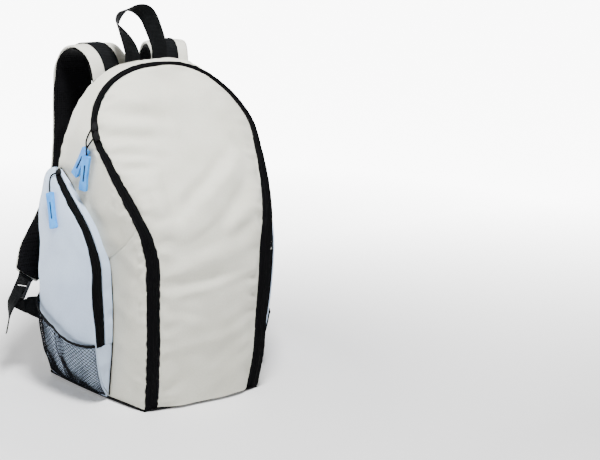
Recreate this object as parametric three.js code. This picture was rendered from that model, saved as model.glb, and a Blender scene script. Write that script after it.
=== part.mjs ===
// Cooler backpack: an arched front flap with a zip all round, a bellows pocket with a mesh
// pocket on each side, padded shoulder straps with ladder locks, and a webbing haul loop.
// Millimetres, +Z up. The origin is the middle of the base, on the surface it stands on.
// The flap faces -Y, the straps are on the +Y side, and +X is to the right seen from the front.
import * as THREE from 'three';
import { mergeVertices } from 'three/addons/utils/BufferGeometryUtils.js';

// The bag as a whole
const packHeight = 460;
const packDepth = 191;
const backWidth = 298;
const backHeight = 454;
const backArchFoot = 150;
const backArchPower = 2.96;
const seamGap = 0.3;
const clothGap = 0.6;
const liningGap = 0.8;

// Cloth and padding
const fabricWall = 1.6;
const flapWall = 2;
const liningWall = 3;
const backPadding = 9;
const backRim = 2;
const baseThickness = 4;
const pipingRadius = 1.5;
const pipingHeight = 2.6;
const footGap = 0.6;
const flapCrown = 15;
const gussetBulge = 5;

// Main zip
const zipWidth = 20;
const tapeThickness = 1.2;
const coilWidth = 5;
const coilHeight = 1.1;

// Side pockets
const pocketHeight = 318;
const pocketFoot = 7;
const leftPocketDepth = 41;
const rightPocketDepth = 26;
const pocketDome = 5;
const pocketZipFoot = 92;
const pocketPipingRadius = 1.1;
const pocketRim = 1.4;
const pocketFootDepth = 5.6;
const pocketBandFrom = 0.48;
const meshWall = 0.8;
const meshSlack = 6.5;
const meshSeat = 1.3;
const meshHeight = 122;
const meshFoot = 12;
const bindingWidth = 4;
const bindingThickness = 1.6;

// Inside
const shelfHeight = 190;
const shelfThickness = 3;
const shelfHole = 96;
const shelfHoleSetBack = 20;
const innerPocketWidth = 150;
const innerPocketHeight = 120;
const innerPocketFoot = 235;
const innerPocketWall = 1.2;
const flapLiningMargin = 7;
const cornerRoom = 3;
const boardGap = 0.8;

// Shoulder straps
const strapWidth = 64;
const strapPadThickness = 6;
const strapLiningThickness = 5;
const strapRootOut = 48;
const strapRootHeight = 418;
const strapEndOut = 180;
const strapEndHeight = 151;
const strapReach = 78;
const strapArchRise = 54;
const webbingWidth = 25;
const webbingThickness = 1.4;
const webbingEndPlace = 11;

// Buckles, anchors and haul loop
const lockWidth = 31;
const lockHeight = 26;
const lockThickness = 5;
const lockBar = 4.5;
const lockDrop = 22;
const lockTurn = [0.55, 0.28, 0.79];
const wingReach = 35;
const wingTop = 121;
const wingFoot = 76;
const wingThickness = 2.4;
const wingBack = 13;
const tailLength = 44;
const tailReach = 12;
const tailAcross = [-0.42, -0.9, 0.05];
const lockAcross = [0.16, -0.97, 0.1];
const loopSpread = 22;
const loopHeight = 80;
const loopLean = 26;

// Sliders and pulls
const sliderLength = 15;
const sliderWidth = 9;
const sliderHeight = 4.5;
const sliderWidths = [0.55, 1, 1, 0.8];
const sliderSpacing = 15.4;
const upperSliderAbove = 67.1;
const pullLength = 50;
const pullWidth = 12.5;
const pullWaist = 9;
const pullThickness = 4.5;
const pullSlotLength = 24;
const pullSlotWidth = 2.8;
const linkRadius = 1.3;
const pocketPullDrop = 24;
const pocketPullGap = 3.5;

// Line of the main zip from the base to the middle of the arch, the middle of its tape.
// height: of the pack's height. out: of half the back's width. depth: of the pack's depth, from
// its middle, negative to the front. lean: degrees that the flap leans back there. tape: of the
// zip's width. crown: of the flap's crown. back: of the back's height, on the seam behind.
const zipRows = [
  { height: 0.0, out: 0.57, depth: -0.462, lean: -5, tape: 1, crown: 0.3, back: 0.0 },
  { height: 0.12, out: 0.591, depth: -0.5, lean: -4, tape: 1, crown: 0.5, back: 0.12 },
  { height: 0.25, out: 0.597, depth: -0.503, lean: 0, tape: 1, crown: 0.65, back: 0.25 },
  { height: 0.38, out: 0.611, depth: -0.499, lean: 2, tape: 1, crown: 0.8, back: 0.38 },
  { height: 0.47, out: 0.617, depth: -0.49, lean: 9, tape: 1, crown: 0.9, back: 0.47 },
  { height: 0.56, out: 0.671, depth: -0.435, lean: 25, tape: 0.86, crown: 1, back: 0.56 },
  { height: 0.65, out: 0.752, depth: -0.293, lean: 35, tape: 0.74, crown: 1, back: 0.65 },
  { height: 0.74, out: 0.819, depth: -0.115, lean: 40, tape: 0.6, crown: 1, back: 0.742 },
  { height: 0.82, out: 0.852, depth: 0.052, lean: 41, tape: 0.5, crown: 0.95, back: 0.825 },
  { height: 0.89, out: 0.755, depth: 0.186, lean: 42, tape: 0.45, crown: 0.75, back: 0.9 },
  { height: 0.95, out: 0.562, depth: 0.276, lean: 44, tape: 0.42, crown: 0.45, back: 0.957 },
  { height: 0.988, out: 0.315, depth: 0.302, lean: 46, tape: 0.4, crown: 0.15, back: 0.992 },
  { height: 1.0, out: 0.0, depth: 0.306, lean: 47, tape: 0.4, crown: 0.0, back: 1.0 },
];

// Side pocket from its foot to its peak. height: of the pocket's height. front: place of its
// front seam, as a share of the side panel's depth. depth: of the pocket's depth. flare: how far
// the pocket's front wall leans forward, as a share of its depth.
const pocketRows = [
  { height: 0.0, front: 0.345, depth: 0.06, flare: 0.05 },
  { height: 0.06, front: 0.34, depth: 0.37, flare: 0.06 },
  { height: 0.13, front: 0.335, depth: 0.58, flare: 0.07 },
  { height: 0.2, front: 0.325, depth: 0.75, flare: 0.07 },
  { height: 0.29, front: 0.32, depth: 0.88, flare: 0.07 },
  { height: 0.4, front: 0.318, depth: 0.96, flare: 0.04 },
  { height: 0.51, front: 0.322, depth: 1, flare: 0.02 },
  { height: 0.62, front: 0.34, depth: 1, flare: 0.1 },
  { height: 0.72, front: 0.39, depth: 0.98, flare: 0.26 },
  { height: 0.82, front: 0.475, depth: 0.92, flare: 0.46 },
  { height: 0.9, front: 0.59, depth: 0.82, flare: 0.52 },
  { height: 0.96, front: 0.74, depth: 0.64, flare: 0.5 },
  { height: 0.99, front: 0.87, depth: 0.42, flare: 0.4 },
  { height: 1.0, front: 0.94, depth: 0.2, flare: 0.2 },
];

// Section of the pocket's outer face, from its zip to the back seam. across: of the face's
// width. out: of the pocket's depth there. swell: of the dome.
const faceRows = [
  { across: 0, out: 1, swell: 0 },
  { across: 0.14, out: 1, swell: 0.55 },
  { across: 0.38, out: 1, swell: 1 },
  { across: 0.62, out: 1, swell: 0.85 },
  { across: 0.8, out: 0.96, swell: 0.4 },
  { across: 0.91, out: 0.78, swell: 0.1 },
  { across: 0.975, out: 0.45, swell: 0 },
  { across: 1, out: 0, swell: 0 },
];

// Top edge of the mesh pocket across the face. height: of the mesh pocket's height at the back.
const meshTopRows = [
  { across: 0, height: 0.77, slack: 0 },
  { across: 0.14, height: 0.74, slack: 0.6 },
  { across: 0.38, height: 0.76, slack: 1 },
  { across: 0.47, height: 0.86, slack: 1 },
  { across: 0.62, height: 0.9, slack: 1 },
  { across: 0.8, height: 1, slack: 0.8 },
  { across: 0.91, height: 1.06, slack: 0.5 },
  { across: 0.975, height: 1.08, slack: 0.2 },
];

// Seam that parts the upper gusset from the side panel, from the zip to the back.
// across: share of the side's depth. height: of the pack's height.
const slantRows = [
  { across: 0, height: 0.578 },
  { across: 0.2, height: 0.51 },
  { across: 0.41, height: 0.44 },
  { across: 0.7, height: 0.34 },
  { across: 1, height: 0.24 },
];

// Middle line of a shoulder strap from its root on the back panel to its lower end.
// out: from the root's place to the end's. back: of the reach behind the back panel. rise: of
// the arch's rise. drop: of the way from the root's height to the end's. width: of its width.
const strapRows = [
  { out: 0.0, back: 0.0, rise: 0.0, drop: 0.0, width: 0.96 },
  { out: 0.0, back: 0.01, rise: 0.4, drop: 0.0, width: 1 },
  { out: 0.03, back: 0.1, rise: 0.78, drop: 0.0, width: 1 },
  { out: 0.07, back: 0.32, rise: 1, drop: 0.0, width: 1 },
  { out: 0.12, back: 0.66, rise: 0.98, drop: 0.0, width: 1 },
  { out: 0.16, back: 0.92, rise: 0.66, drop: 0.0, width: 1 },
  { out: 0.18, back: 1.0, rise: 0.0, drop: 0.0, width: 1 },
  { out: 0.18, back: 1.0, rise: 0.0, drop: 0.167, width: 1 },
  { out: 0.19, back: 0.97, rise: 0.0, drop: 0.346, width: 1 },
  { out: 0.225, back: 0.9, rise: 0.0, drop: 0.506, width: 1 },
  { out: 0.375, back: 0.74, rise: 0.0, drop: 0.665, width: 1 },
  { out: 0.59, back: 0.46, rise: 0.0, drop: 0.8, width: 1 },
  { out: 0.83, back: 0.22, rise: 0.0, drop: 0.91, width: 0.98 },
  { out: 1.0, back: 0.07, rise: 0.0, drop: 1.0, width: 0.62 },
];

// Haul loop from its left foot to its right foot. out: of the feet's spread. lean: of how far
// the loop leans to the left. height: of its height. turn: degrees the webbing is turned round
// its own line, from lying flat to the back.
const loopRows = [
  { out: -1, lean: 0.0, height: 0.0, turn: 0 },
  { out: -1, lean: 0.08, height: 0.2, turn: 10 },
  { out: -1, lean: 0.5, height: 0.46, turn: 35 },
  { out: -1.05, lean: 1.0, height: 0.74, turn: 70 },
  { out: -0.72, lean: 1.0, height: 0.93, turn: 80 },
  { out: -0.15, lean: 0.7, height: 1.0, turn: 60 },
  { out: 0.3, lean: 0.35, height: 0.9, turn: 30 },
  { out: 0.62, lean: 0.1, height: 0.6, turn: 10 },
  { out: 0.95, lean: 0.0, height: 0.28, turn: 0 },
  { out: 1, lean: 0.0, height: 0.0, turn: 0 },
];

// Hanging end of the webbing below the ladder lock. out and front: of the tail's reach. drop: of
// its length.
const tailRows = [
  { out: 0.35, front: 0.1, drop: 0.25 },
  { out: 0.5, front: 0.25, drop: 0.5 },
  { out: 0.8, front: 0.5, drop: 0.75 },
  { out: 1.2, front: 0.9, drop: 1 },
];

// The main zip's pulls. back and hang: how far behind and below its slider a pull starts. tilt:
// degrees it leans to the back. turn: degrees its face is turned from the gusset to the front.
// out: how far its middle stands off the gusset.
const mainPulls = [
  { name: 'upper', back: -1, hang: 23, tilt: 34, turn: 9, out: 4.1 },
  { name: 'lower', back: 3, hang: 20, tilt: 8, turn: 16, out: 7.8 },
];

const ivory = 0xdedcd4;
const ivoryShade = 0xd0cfc5;
const paleBlue = 0xc3cfdd;
const black = 0x141416;
const meshBlack = 0x1b1c20;
const liningWhite = 0xf0f1f4;
const pullBlue = 0x6fb4e4;
const lockGrey = 0x2a2b2e;

const foot = baseThickness + footGap;
const backPlane = packDepth / 2;
const xAxis = new THREE.Vector3(1, 0, 0);
const zAxis = new THREE.Vector3(0, 0, 1);
const bag = new THREE.Group();

// Adds one closed body to the bag, turned right side out whichever way its faces were wound.
function addGeometry(name, raw, colour, roughness = 0.85) {
  const bare = new THREE.BufferGeometry();
  bare.setAttribute('position', raw.getAttribute('position'));
  bare.setIndex(raw.getIndex());
  const merged = mergeVertices(bare, 1e-4);
  const place = merged.getAttribute('position');
  const index = Array.from(merged.getIndex().array);
  const corner = (i) => new THREE.Vector3().fromBufferAttribute(place, i);
  const kept = [];
  let volume = 0;
  for (let i = 0; i < index.length; i += 3) {
    const [a, b, c] = index.slice(i, i + 3);
    if (a !== b && b !== c && c !== a) {
      kept.push([a, b, c]);
      volume += corner(a).dot(corner(b).cross(corner(c))) / 6;
    }
  }
  merged.setIndex(kept.flatMap(([a, b, c]) => (volume > 0 ? [a, b, c] : [a, c, b])));
  merged.computeVertexNormals();
  const material = new THREE.MeshStandardMaterial({ color: colour, roughness, metalness: 0 });
  const mesh = new THREE.Mesh(merged, material);
  mesh.name = name;
  bag.add(mesh);
}

function addBody(name, points, faces, colour, roughness) {
  const raw = new THREE.BufferGeometry();
  const numbers = points.flatMap((p) => [p.x, p.y, p.z]);
  raw.setAttribute('position', new THREE.Float32BufferAttribute(numbers, 3));
  raw.setIndex(faces.flat());
  addGeometry(name, raw, colour, roughness);
}

// Closed body between two grids of points, an outer and an inner one of the same size.
function addBetween(name, outer, inner, colour, roughness) {
  const rows = outer.length;
  const columns = outer[0].length;
  const points = [...outer.flat(), ...inner.flat()];
  const at = (layer, i, j) => layer * rows * columns + i * columns + j;
  const faces = [];
  const quad = (a, b, c, d) => faces.push([a, b, c], [a, c, d]);
  for (let i = 0; i < rows - 1; i += 1) {
    for (let j = 0; j < columns - 1; j += 1) {
      quad(at(0, i, j), at(0, i + 1, j), at(0, i + 1, j + 1), at(0, i, j + 1));
      quad(at(1, i, j), at(1, i, j + 1), at(1, i + 1, j + 1), at(1, i + 1, j));
    }
  }
  const last = columns - 1;
  for (let i = 0; i < rows - 1; i += 1) {
    quad(at(0, i, 0), at(1, i, 0), at(1, i + 1, 0), at(0, i + 1, 0));
    quad(at(0, i, last), at(0, i + 1, last), at(1, i + 1, last), at(1, i, last));
  }
  const top = rows - 1;
  for (let j = 0; j < columns - 1; j += 1) {
    quad(at(0, 0, j), at(0, 0, j + 1), at(1, 0, j + 1), at(1, 0, j));
    quad(at(0, top, j), at(1, top, j), at(1, top, j + 1), at(0, top, j + 1));
  }
  addBody(name, points, faces, colour, roughness);
}

// Unit normals of a grid of points. A row drawn together to one point takes the mean normal of
// the row before it.
function gridNormals(grid) {
  const rows = grid.length;
  const columns = grid[0].length;
  return grid.map((row, i) => {
    const isPoint = row[0].distanceTo(row[columns - 1]) < 1e-6;
    const source = isPoint ? i - 1 : i;
    const normals = grid[source].map((point, j) => {
      const above = grid[Math.min(source + 1, rows - 1)][j];
      const below = grid[Math.max(source - 1, 0)][j];
      const left = grid[source][Math.max(j - 1, 0)];
      const right = grid[source][Math.min(j + 1, columns - 1)];
      return above.clone().sub(below).cross(right.clone().sub(left)).normalize();
    });
    if (!isPoint) return normals;
    const mean = normals.reduce((sum, n) => sum.add(n), new THREE.Vector3()).normalize();
    return normals.map(() => mean);
  });
}

// The grid moved in from its outer side.
function movedIn(grid, distance) {
  const normals = gridNormals(grid);
  return grid.map((row, i) => row.map((p, j) => p.clone().addScaledVector(normals[i][j], -distance)));
}

// The grid with its first row brought down or up to the foot of the bag's walls.
function standing(grid) {
  return grid.map((row, i) => (i === 0 ? row.map((p) => p.clone().setZ(foot)) : row));
}

// The same for a grid that stands on both its first and its last row.
function levelEnds(grid) {
  return standing(standing(grid).reverse()).reverse();
}

function mirrored(point) {
  return new THREE.Vector3(-point.x, point.y, point.z);
}

function mirroredGrid(grid) {
  return grid.map((row) => row.map(mirrored));
}

// A wall with the given outer surface, and its mirror image on the right side.
function addWallPair(name, grid, wall, colour, roughness) {
  const inner = movedIn(grid, wall);
  addBetween(`${name}_left`, standing(grid), standing(inner), colour, roughness);
  addBetween(`${name}_right`, mirroredGrid(standing(grid)), mirroredGrid(standing(inner)), colour, roughness);
}

// Closed body of a section moved along frames {origin, x, y}; sectionAt(i) gives its [x, y] pairs.
function addSwept(name, frames, sectionAt, colour, { closed = false, roughness = 0.85 } = {}) {
  const size = sectionAt(0).length;
  const points = frames.flatMap((frame, i) => sectionAt(i).map(([x, y]) =>
    frame.origin.clone().addScaledVector(frame.x, x).addScaledVector(frame.y, y)));
  const faces = [];
  const spans = closed ? frames.length : frames.length - 1;
  for (let i = 0; i < spans; i += 1) {
    const next = (i + 1) % frames.length;
    for (let j = 0; j < size; j += 1) {
      const k = (j + 1) % size;
      faces.push([i * size + j, next * size + j, next * size + k]);
      faces.push([i * size + j, next * size + k, i * size + k]);
    }
  }
  if (!closed) {
    const outline = sectionAt(0).map(([x, y]) => new THREE.Vector2(x, y));
    const isTurned = THREE.ShapeUtils.isClockWise(outline);
    const last = (frames.length - 1) * size;
    for (const cap of THREE.ShapeUtils.triangulateShape(outline, [])) {
      const [a, b, c] = isTurned ? cap.slice().reverse() : cap;
      faces.push([a, b, c], [last + a, last + c, last + b]);
    }
  }
  addBody(name, points, faces, colour, roughness);
}

function mirroredFrames(frames) {
  return frames.map((f) => ({ origin: mirrored(f.origin), x: mirrored(f.x), y: mirrored(f.y) }));
}

// The frames are those of the left side.
function addSweptPair(name, frames, sectionAt, colour, options) {
  addSwept(`${name}_left`, frames, sectionAt, colour, options);
  addSwept(`${name}_right`, mirroredFrames(frames), sectionAt, colour, options);
}

function roundSection(radius, sides) {
  return Array.from({ length: sides }, (_, i) => {
    const turn = ((i + 0.5) / sides) * 2 * Math.PI;
    return [radius * Math.cos(turn), radius * Math.sin(turn)];
  });
}

function boxSection(width, low, high) {
  return [[-width / 2, low], [width / 2, low], [width / 2, high], [-width / 2, high]];
}

// A column of a table as a smooth function of the row, counted in rows from the first.
function columnOf(rows, name) {
  const curve = new THREE.SplineCurve(rows.map((row, i) => new THREE.Vector2(i, row[name])));
  return (place) => curve.getPoint(THREE.MathUtils.clamp(place / (rows.length - 1), 0, 1)).y;
}

function columnsOf(rows, names) {
  return Object.fromEntries(names.map((name) => [name, columnOf(rows, name)]));
}

// The row, counted with its fraction, at which a rising column reaches a value.
function rowWhere(rows, name, value) {
  const above = rows.findIndex((row) => row[name] >= value);
  if (above === 0) return 0;
  if (above < 0) return rows.length - 1;
  const low = rows[above - 1][name];
  return above - 1 + (value - low) / (rows[above][name] - low);
}

function steps(count) {
  return Array.from({ length: count + 1 }, (_, i) => i / count);
}

// The zip's line and the back seam run from the left foot over the arch to the right foot.
// A place on them is a row of zipRows, which goes up to topRow and on down the right side.
const topRow = zipRows.length - 1;

function archPath(pointOf) {
  const left = zipRows.map(pointOf);
  const right = left.slice(0, -1).reverse().map(mirrored);
  return new THREE.CatmullRomCurve3([...left, ...right], false, 'centripetal');
}

const zipPath = archPath((row) => new THREE.Vector3(
  (-row.out * backWidth) / 2,
  row.depth * packDepth,
  foot + row.height * (packHeight - foot),
));

function backHalfWidth(height) {
  const rise = Math.max(0, (height - backArchFoot) / (backHeight - backArchFoot));
  return (backWidth / 2) * (1 - Math.min(1, rise) ** backArchPower) ** (1 / backArchPower);
}

const backPath = archPath((row) => {
  const height = foot + row.back * (backHeight - foot);
  return new THREE.Vector3(-backHalfWidth(height), backPlane, height);
});

const zipColumns = columnsOf(zipRows, ['lean', 'tape', 'crown']);

function zipFrame(place) {
  const row = topRow - Math.abs(topRow - place);
  const lean = THREE.MathUtils.degToRad(zipColumns.lean(row));
  const along = zipPath.getTangent(place / (2 * topRow));
  const flapNormal = new THREE.Vector3(0, -Math.cos(lean), Math.sin(lean));
  const inward = along.clone().cross(flapNormal).normalize();
  return {
    origin: zipPath.getPoint(place / (2 * topRow)),
    x: inward,
    y: inward.clone().cross(along).normalize(),
    halfTape: (zipWidth * zipColumns.tape(row)) / 2,
    flapNormal,
    crown: flapCrown * Math.max(0, zipColumns.crown(row)),
  };
}

// Outer surface of the flap at a place of the left zip, across from -1 at the left to 1.
function flapPoint(place, across, margin) {
  const frame = zipFrame(place);
  const left = frame.origin.clone().addScaledVector(frame.x, frame.halfTape + margin);
  return new THREE.Vector3(-left.x * across, left.y, left.z)
    .addScaledVector(frame.flapNormal, frame.crown * (1 - Math.abs(across) ** 2.2));
}

// Outer surface of the gusset at a place of the zip, across from 0 at the zip to 1 at the back.
function gussetPoint(place, across) {
  const frame = zipFrame(place);
  const edge = frame.origin.clone().addScaledVector(frame.x, -frame.halfTape)
    .addScaledVector(frame.y, -tapeThickness - clothGap);
  const back = backPath.getPoint(place / (2 * topRow));
  const along = zipPath.getTangent(place / (2 * topRow));
  const outward = along.cross(back.clone().sub(edge)).normalize();
  return edge.lerp(back, across).addScaledVector(outward, gussetBulge * Math.sin(Math.PI * across));
}

function gussetNormal(place, across) {
  const step = 0.01;
  const up = gussetPoint(place + step, across).sub(gussetPoint(Math.max(0, place - step), across));
  const near = gussetPoint(place, Math.max(0, across - step));
  const far = gussetPoint(place, Math.min(1, across + step));
  return up.cross(far.sub(near)).normalize();
}

// Length of the gusset from the zip to the back seam.
function gussetSpan(place) {
  return gussetPoint(place, 0).distanceTo(gussetPoint(place, 1));
}

// The place of the left zip at a height.
function placeAt(height) {
  return rowWhere(zipRows, 'height', (height - foot) / (packHeight - foot));
}

// The zip, the flap and the gusset share these places, so that their seams follow one line.
const archPlaces = steps(2 * topRow).map((s) => s * topRow);

function addFlap() {
  const across = steps(8).map((s) => 1 - 2 * s);
  const surface = archPlaces.map((place) => across.map((a) => flapPoint(place, a, clothGap)));
  addBetween('flap_panel', standing(surface), standing(movedIn(surface, flapWall)), ivory);
}

function zipSection(halfWidth) {
  const coil = Math.min(coilWidth / 2, halfWidth * 0.7);
  const low = -tapeThickness;
  return [
    [-halfWidth, low], [halfWidth, low], [halfWidth, 0], [coil, 0],
    [coil * 0.6, coilHeight], [-coil * 0.6, coilHeight], [-coil, 0], [-halfWidth, 0],
  ];
}

function addMainZip() {
  const rightPlaces = archPlaces.slice(0, -1).map((p) => 2 * topRow - p).reverse();
  const frames = [...archPlaces, ...rightPlaces].map(zipFrame);
  addSwept('main_zip', frames, (i) => zipSection(frames[i].halfTape), black, { roughness: 0.6 });
}

// Places of the left zip at which the slanted seam crosses the gusset's columns.
const slantPlaces = slantRows.map((row) => rowWhere(zipRows, 'height', row.height));
const gussetAcross = slantRows.map((row) => row.across);
const slantGap = (seamGap / 2 / packHeight) * topRow;
const slantTop = Math.ceil(slantPlaces[0]);

function addGussets() {
  const rise = steps(4).map((s) => slantPlaces.map((p) => p + slantGap + s * (slantTop - p - slantGap)));
  const arch = archPlaces.filter((p) => p > slantTop).map((p) => slantPlaces.map(() => p));
  const left = [...rise, ...arch];
  const right = left.slice(0, -1).map((row) => row.map((p) => 2 * topRow - p)).reverse();
  const upper = [...left, ...right].map((row) => row.map((p, j) => gussetPoint(p, gussetAcross[j])));
  addBetween('upper_gusset', upper, movedIn(upper, fabricWall), ivory);
  const lower = steps(9).map((s) =>
    slantPlaces.map((p, j) => gussetPoint(s * (p - slantGap), gussetAcross[j])));
  addWallPair('lower_gusset', lower, fabricWall, ivoryShade);
}

// Padded back panel: thin at its rim, full a little way in.
function addBackPanel() {
  const places = [0, 1.2, 3, 4, 5, 6, 7, 8, 9, 9.8, 10.5, 11, 11.5, 12];
  const across = [1, 0.86, 0.6, 0.2, -0.2, -0.6, -0.86, -1];
  const grid = (thicknessAt) => places.map((place, i) => across.map((a) => {
    const seam = backPath.getPoint(place / (2 * topRow));
    const isRim = i === 0 || i >= places.length - 2 || Math.abs(a) === 1;
    return new THREE.Vector3(seam.x * -a, backPlane + clothGap + thicknessAt(isRim), seam.z);
  }));
  addBetween('back_panel', grid((isRim) => (isRim ? backRim : backPadding)), grid(() => 0), meshBlack, 0.95);
}

// Outline of the bag's inside or outside at a place of the zip, level, as points from the front
// left round by the right. The margins are taken in from the flap, the sides and the back.
function levelOutline(place, flapMargin, sideMargin, backMargin) {
  const span = gussetSpan(place);
  const start = flapMargin / span;
  const end = 1 - backMargin / span;
  const side = steps(4).map((s) => {
    const across = start + s * (end - start);
    return gussetPoint(place, across).addScaledVector(gussetNormal(place, across), -sideMargin);
  });
  return [...side.map(mirrored), ...side.reverse()];
}

function footOutline() {
  const front = steps(8).map((s) => flapPoint(0, 2 * s - 1, clothGap));
  const rimY = backPlane + clothGap + backRim;
  const side = [...gussetAcross.map((across) => gussetPoint(0, across)), gussetPoint(0, 1).setY(rimY)];
  return [...front, ...side.map(mirrored), ...side.slice().reverse()];
}

// The outline grown by a distance, for points given anticlockwise seen from above.
function grownOutline(points, distance) {
  return points.map((p, i) => {
    const before = points[(i + points.length - 1) % points.length];
    const after = points[(i + 1) % points.length];
    const normals = [p.clone().sub(before), after.clone().sub(p)].map((edge) =>
      new THREE.Vector3(edge.y, -edge.x, 0).normalize());
    const middle = normals[0].clone().add(normals[1]).normalize();
    return p.clone().addScaledVector(middle, distance / Math.max(0.5, middle.dot(normals[0])));
  });
}

function plate(outline, thickness, low, holes = []) {
  const shape = new THREE.Shape(outline.map((p) => new THREE.Vector2(p.x, p.y)));
  shape.holes.push(...holes);
  const options = { depth: thickness, bevelEnabled: false, curveSegments: 14 };
  return new THREE.ExtrudeGeometry(shape, options).translate(0, 0, low);
}

function addBase() {
  addGeometry('base_panel', plate(footOutline(), baseThickness, 0), meshBlack);
  const path = grownOutline(footOutline(), pipingRadius + seamGap);
  const frames = path.map((p, i) => {
    const before = path[(i + path.length - 1) % path.length];
    const after = path[(i + 1) % path.length];
    const along = after.clone().sub(before).setZ(0).normalize();
    return { origin: p.clone().setZ(pipingHeight), x: new THREE.Vector3(along.y, -along.x, 0), y: zAxis };
  });
  addSwept('base_piping', frames, () => roundSection(pipingRadius, 6), black, { closed: true });
}

// White insulated lining behind the flap, the gusset, the back panel and the base.
function addLining() {
  const wallStart = fabricWall + liningGap;
  const flapPlaces = [0.15, 1, 2, 3, 4, 4.5, 5, 5.5, 6, 7, 8, 9, 10, 10.6, 11.1, 11.5];
  const flap = flapPlaces.map((place) => {
    const reach = 1 - flapLiningMargin / Math.abs(flapPoint(place, -1, clothGap).x);
    return steps(8).map((s) => flapPoint(place, reach * (1 - 2 * s), clothGap));
  });
  const flapOuter = movedIn(flap, flapWall + liningGap);
  addBetween('flap_lining', flapOuter, movedIn(flapOuter, liningWall), liningWhite);
  const wallPlaces = [...steps(9).map((s) => s * 9), 9.5, 10, 10.5, 11, 11.5, 12];
  const allPlaces = [...wallPlaces, ...wallPlaces.slice(0, -1).map((p) => 2 * topRow - p).reverse()];
  const wall = allPlaces.map((place) => {
    const span = gussetSpan(place);
    const start = flapLiningMargin / span;
    const end = 1 - (liningWall + cornerRoom) / span;
    return [0, 0.35, 0.7, 1].map((s) => gussetPoint(place, start + s * (end - start)));
  });
  const wallOuter = movedIn(wall, wallStart);
  addBetween('wall_lining', levelEnds(wallOuter), levelEnds(movedIn(wallOuter, liningWall)), liningWhite);
  const backPlaces = [0, 1.5, 3, 4.5, 6, 7, 8, 9, 10, 10.8, 11.5, 12];
  const backGrid = (y) => backPlaces.map((place) => {
    const along = backPath.getTangent(place / (2 * topRow));
    const inward = new THREE.Vector3(along.z, 0, -along.x).normalize();
    const edge = backPath.getPoint(place / (2 * topRow)).addScaledVector(inward, wallStart + seamGap);
    return [1, 0.5, 0, -0.5, -1].map((a) => new THREE.Vector3(-edge.x * a, y, edge.z));
  });
  const backFace = backPlane - clothGap;
  addBetween('back_lining', backGrid(backFace), backGrid(backFace - liningWall), liningWhite);
  const margins = [flapWall + liningWall + 4, wallStart + liningWall + boardGap, liningWall + cornerRoom];
  const floor = levelOutline(0, ...margins);
  addGeometry('floor_lining', plate(floor, liningWall, foot + seamGap), liningWhite);
  const shelfPlace = placeAt(shelfHeight);
  const hole = new THREE.Path();
  hole.absarc(0, shelfHoleSetBack, shelfHole / 2, 0, 2 * Math.PI, true);
  const shelf = levelOutline(shelfPlace, ...margins);
  addGeometry('bottle_shelf', plate(shelf, shelfThickness, shelfHeight, [hole]), liningWhite);
  const pocket = new THREE.BoxGeometry(innerPocketWidth, innerPocketWall, innerPocketHeight);
  const pocketY = backFace - liningWall - seamGap - innerPocketWall / 2;
  pocket.translate(0, pocketY, innerPocketFoot + innerPocketHeight / 2);
  addGeometry('inner_pocket', pocket, liningWhite);
}

const pocketColumns = columnsOf(pocketRows, ['height', 'front', 'depth', 'flare']);
const faceColumns = columnsOf(faceRows, ['out', 'swell']);
const lastPocketRow = pocketRows.length - 1;
const facePlaces = [0, 0.35, 0.7, 1.1, 1.6, 2.2, 3, 4, 5, 6, 7, 8, 9, 9.9, 10.7, 11.4, 12, 12.5, 13];

function pocketRowAt(height) {
  return rowWhere(pocketRows, 'height', (height - pocketFoot) / (pocketHeight - pocketFoot));
}

// The pocket of one side, worked out on the left: its points by row of pocketRows, and by the
// share of the side's depth, the distance out or the share of the face's width.
function pocketShape(depthOfPocket) {
  const depthAt = (row) => Math.max(pocketFootDepth, depthOfPocket * pocketColumns.depth(row));
  const frontAt = (row, out) =>
    pocketColumns.front(row) - (pocketColumns.flare(row) * (out - pocketRim)) / packDepth;
  const sidePoint = (row, across, out) => {
    const height = pocketFoot + pocketColumns.height(row) * (pocketHeight - pocketFoot);
    const place = placeAt(height);
    return gussetPoint(place, across).addScaledVector(gussetNormal(place, across), out);
  };
  const facePoint = (row, across) => {
    const section = rowWhere(faceRows, 'across', across);
    const front = frontAt(row, depthAt(row));
    const dome = pocketDome * faceColumns.swell(section) * Math.max(0, pocketColumns.depth(row));
    const out = pocketRim + (depthAt(row) - pocketRim) * faceColumns.out(section) + dome;
    return sidePoint(row, front + (1 - front) * across, out);
  };
  const wallPoint = (row, out) => sidePoint(row, frontAt(row, out), out);
  const faceNormal = (row, across) => {
    const step = 0.01;
    const up = facePoint(row + step, across).sub(facePoint(row - step, across));
    const wide = facePoint(row, Math.min(1, across + step)).sub(facePoint(row, Math.max(0, across - step)));
    return up.cross(wide).normalize();
  };
  return { depthAt, frontAt, sidePoint, facePoint, wallPoint, faceNormal };
}

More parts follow.
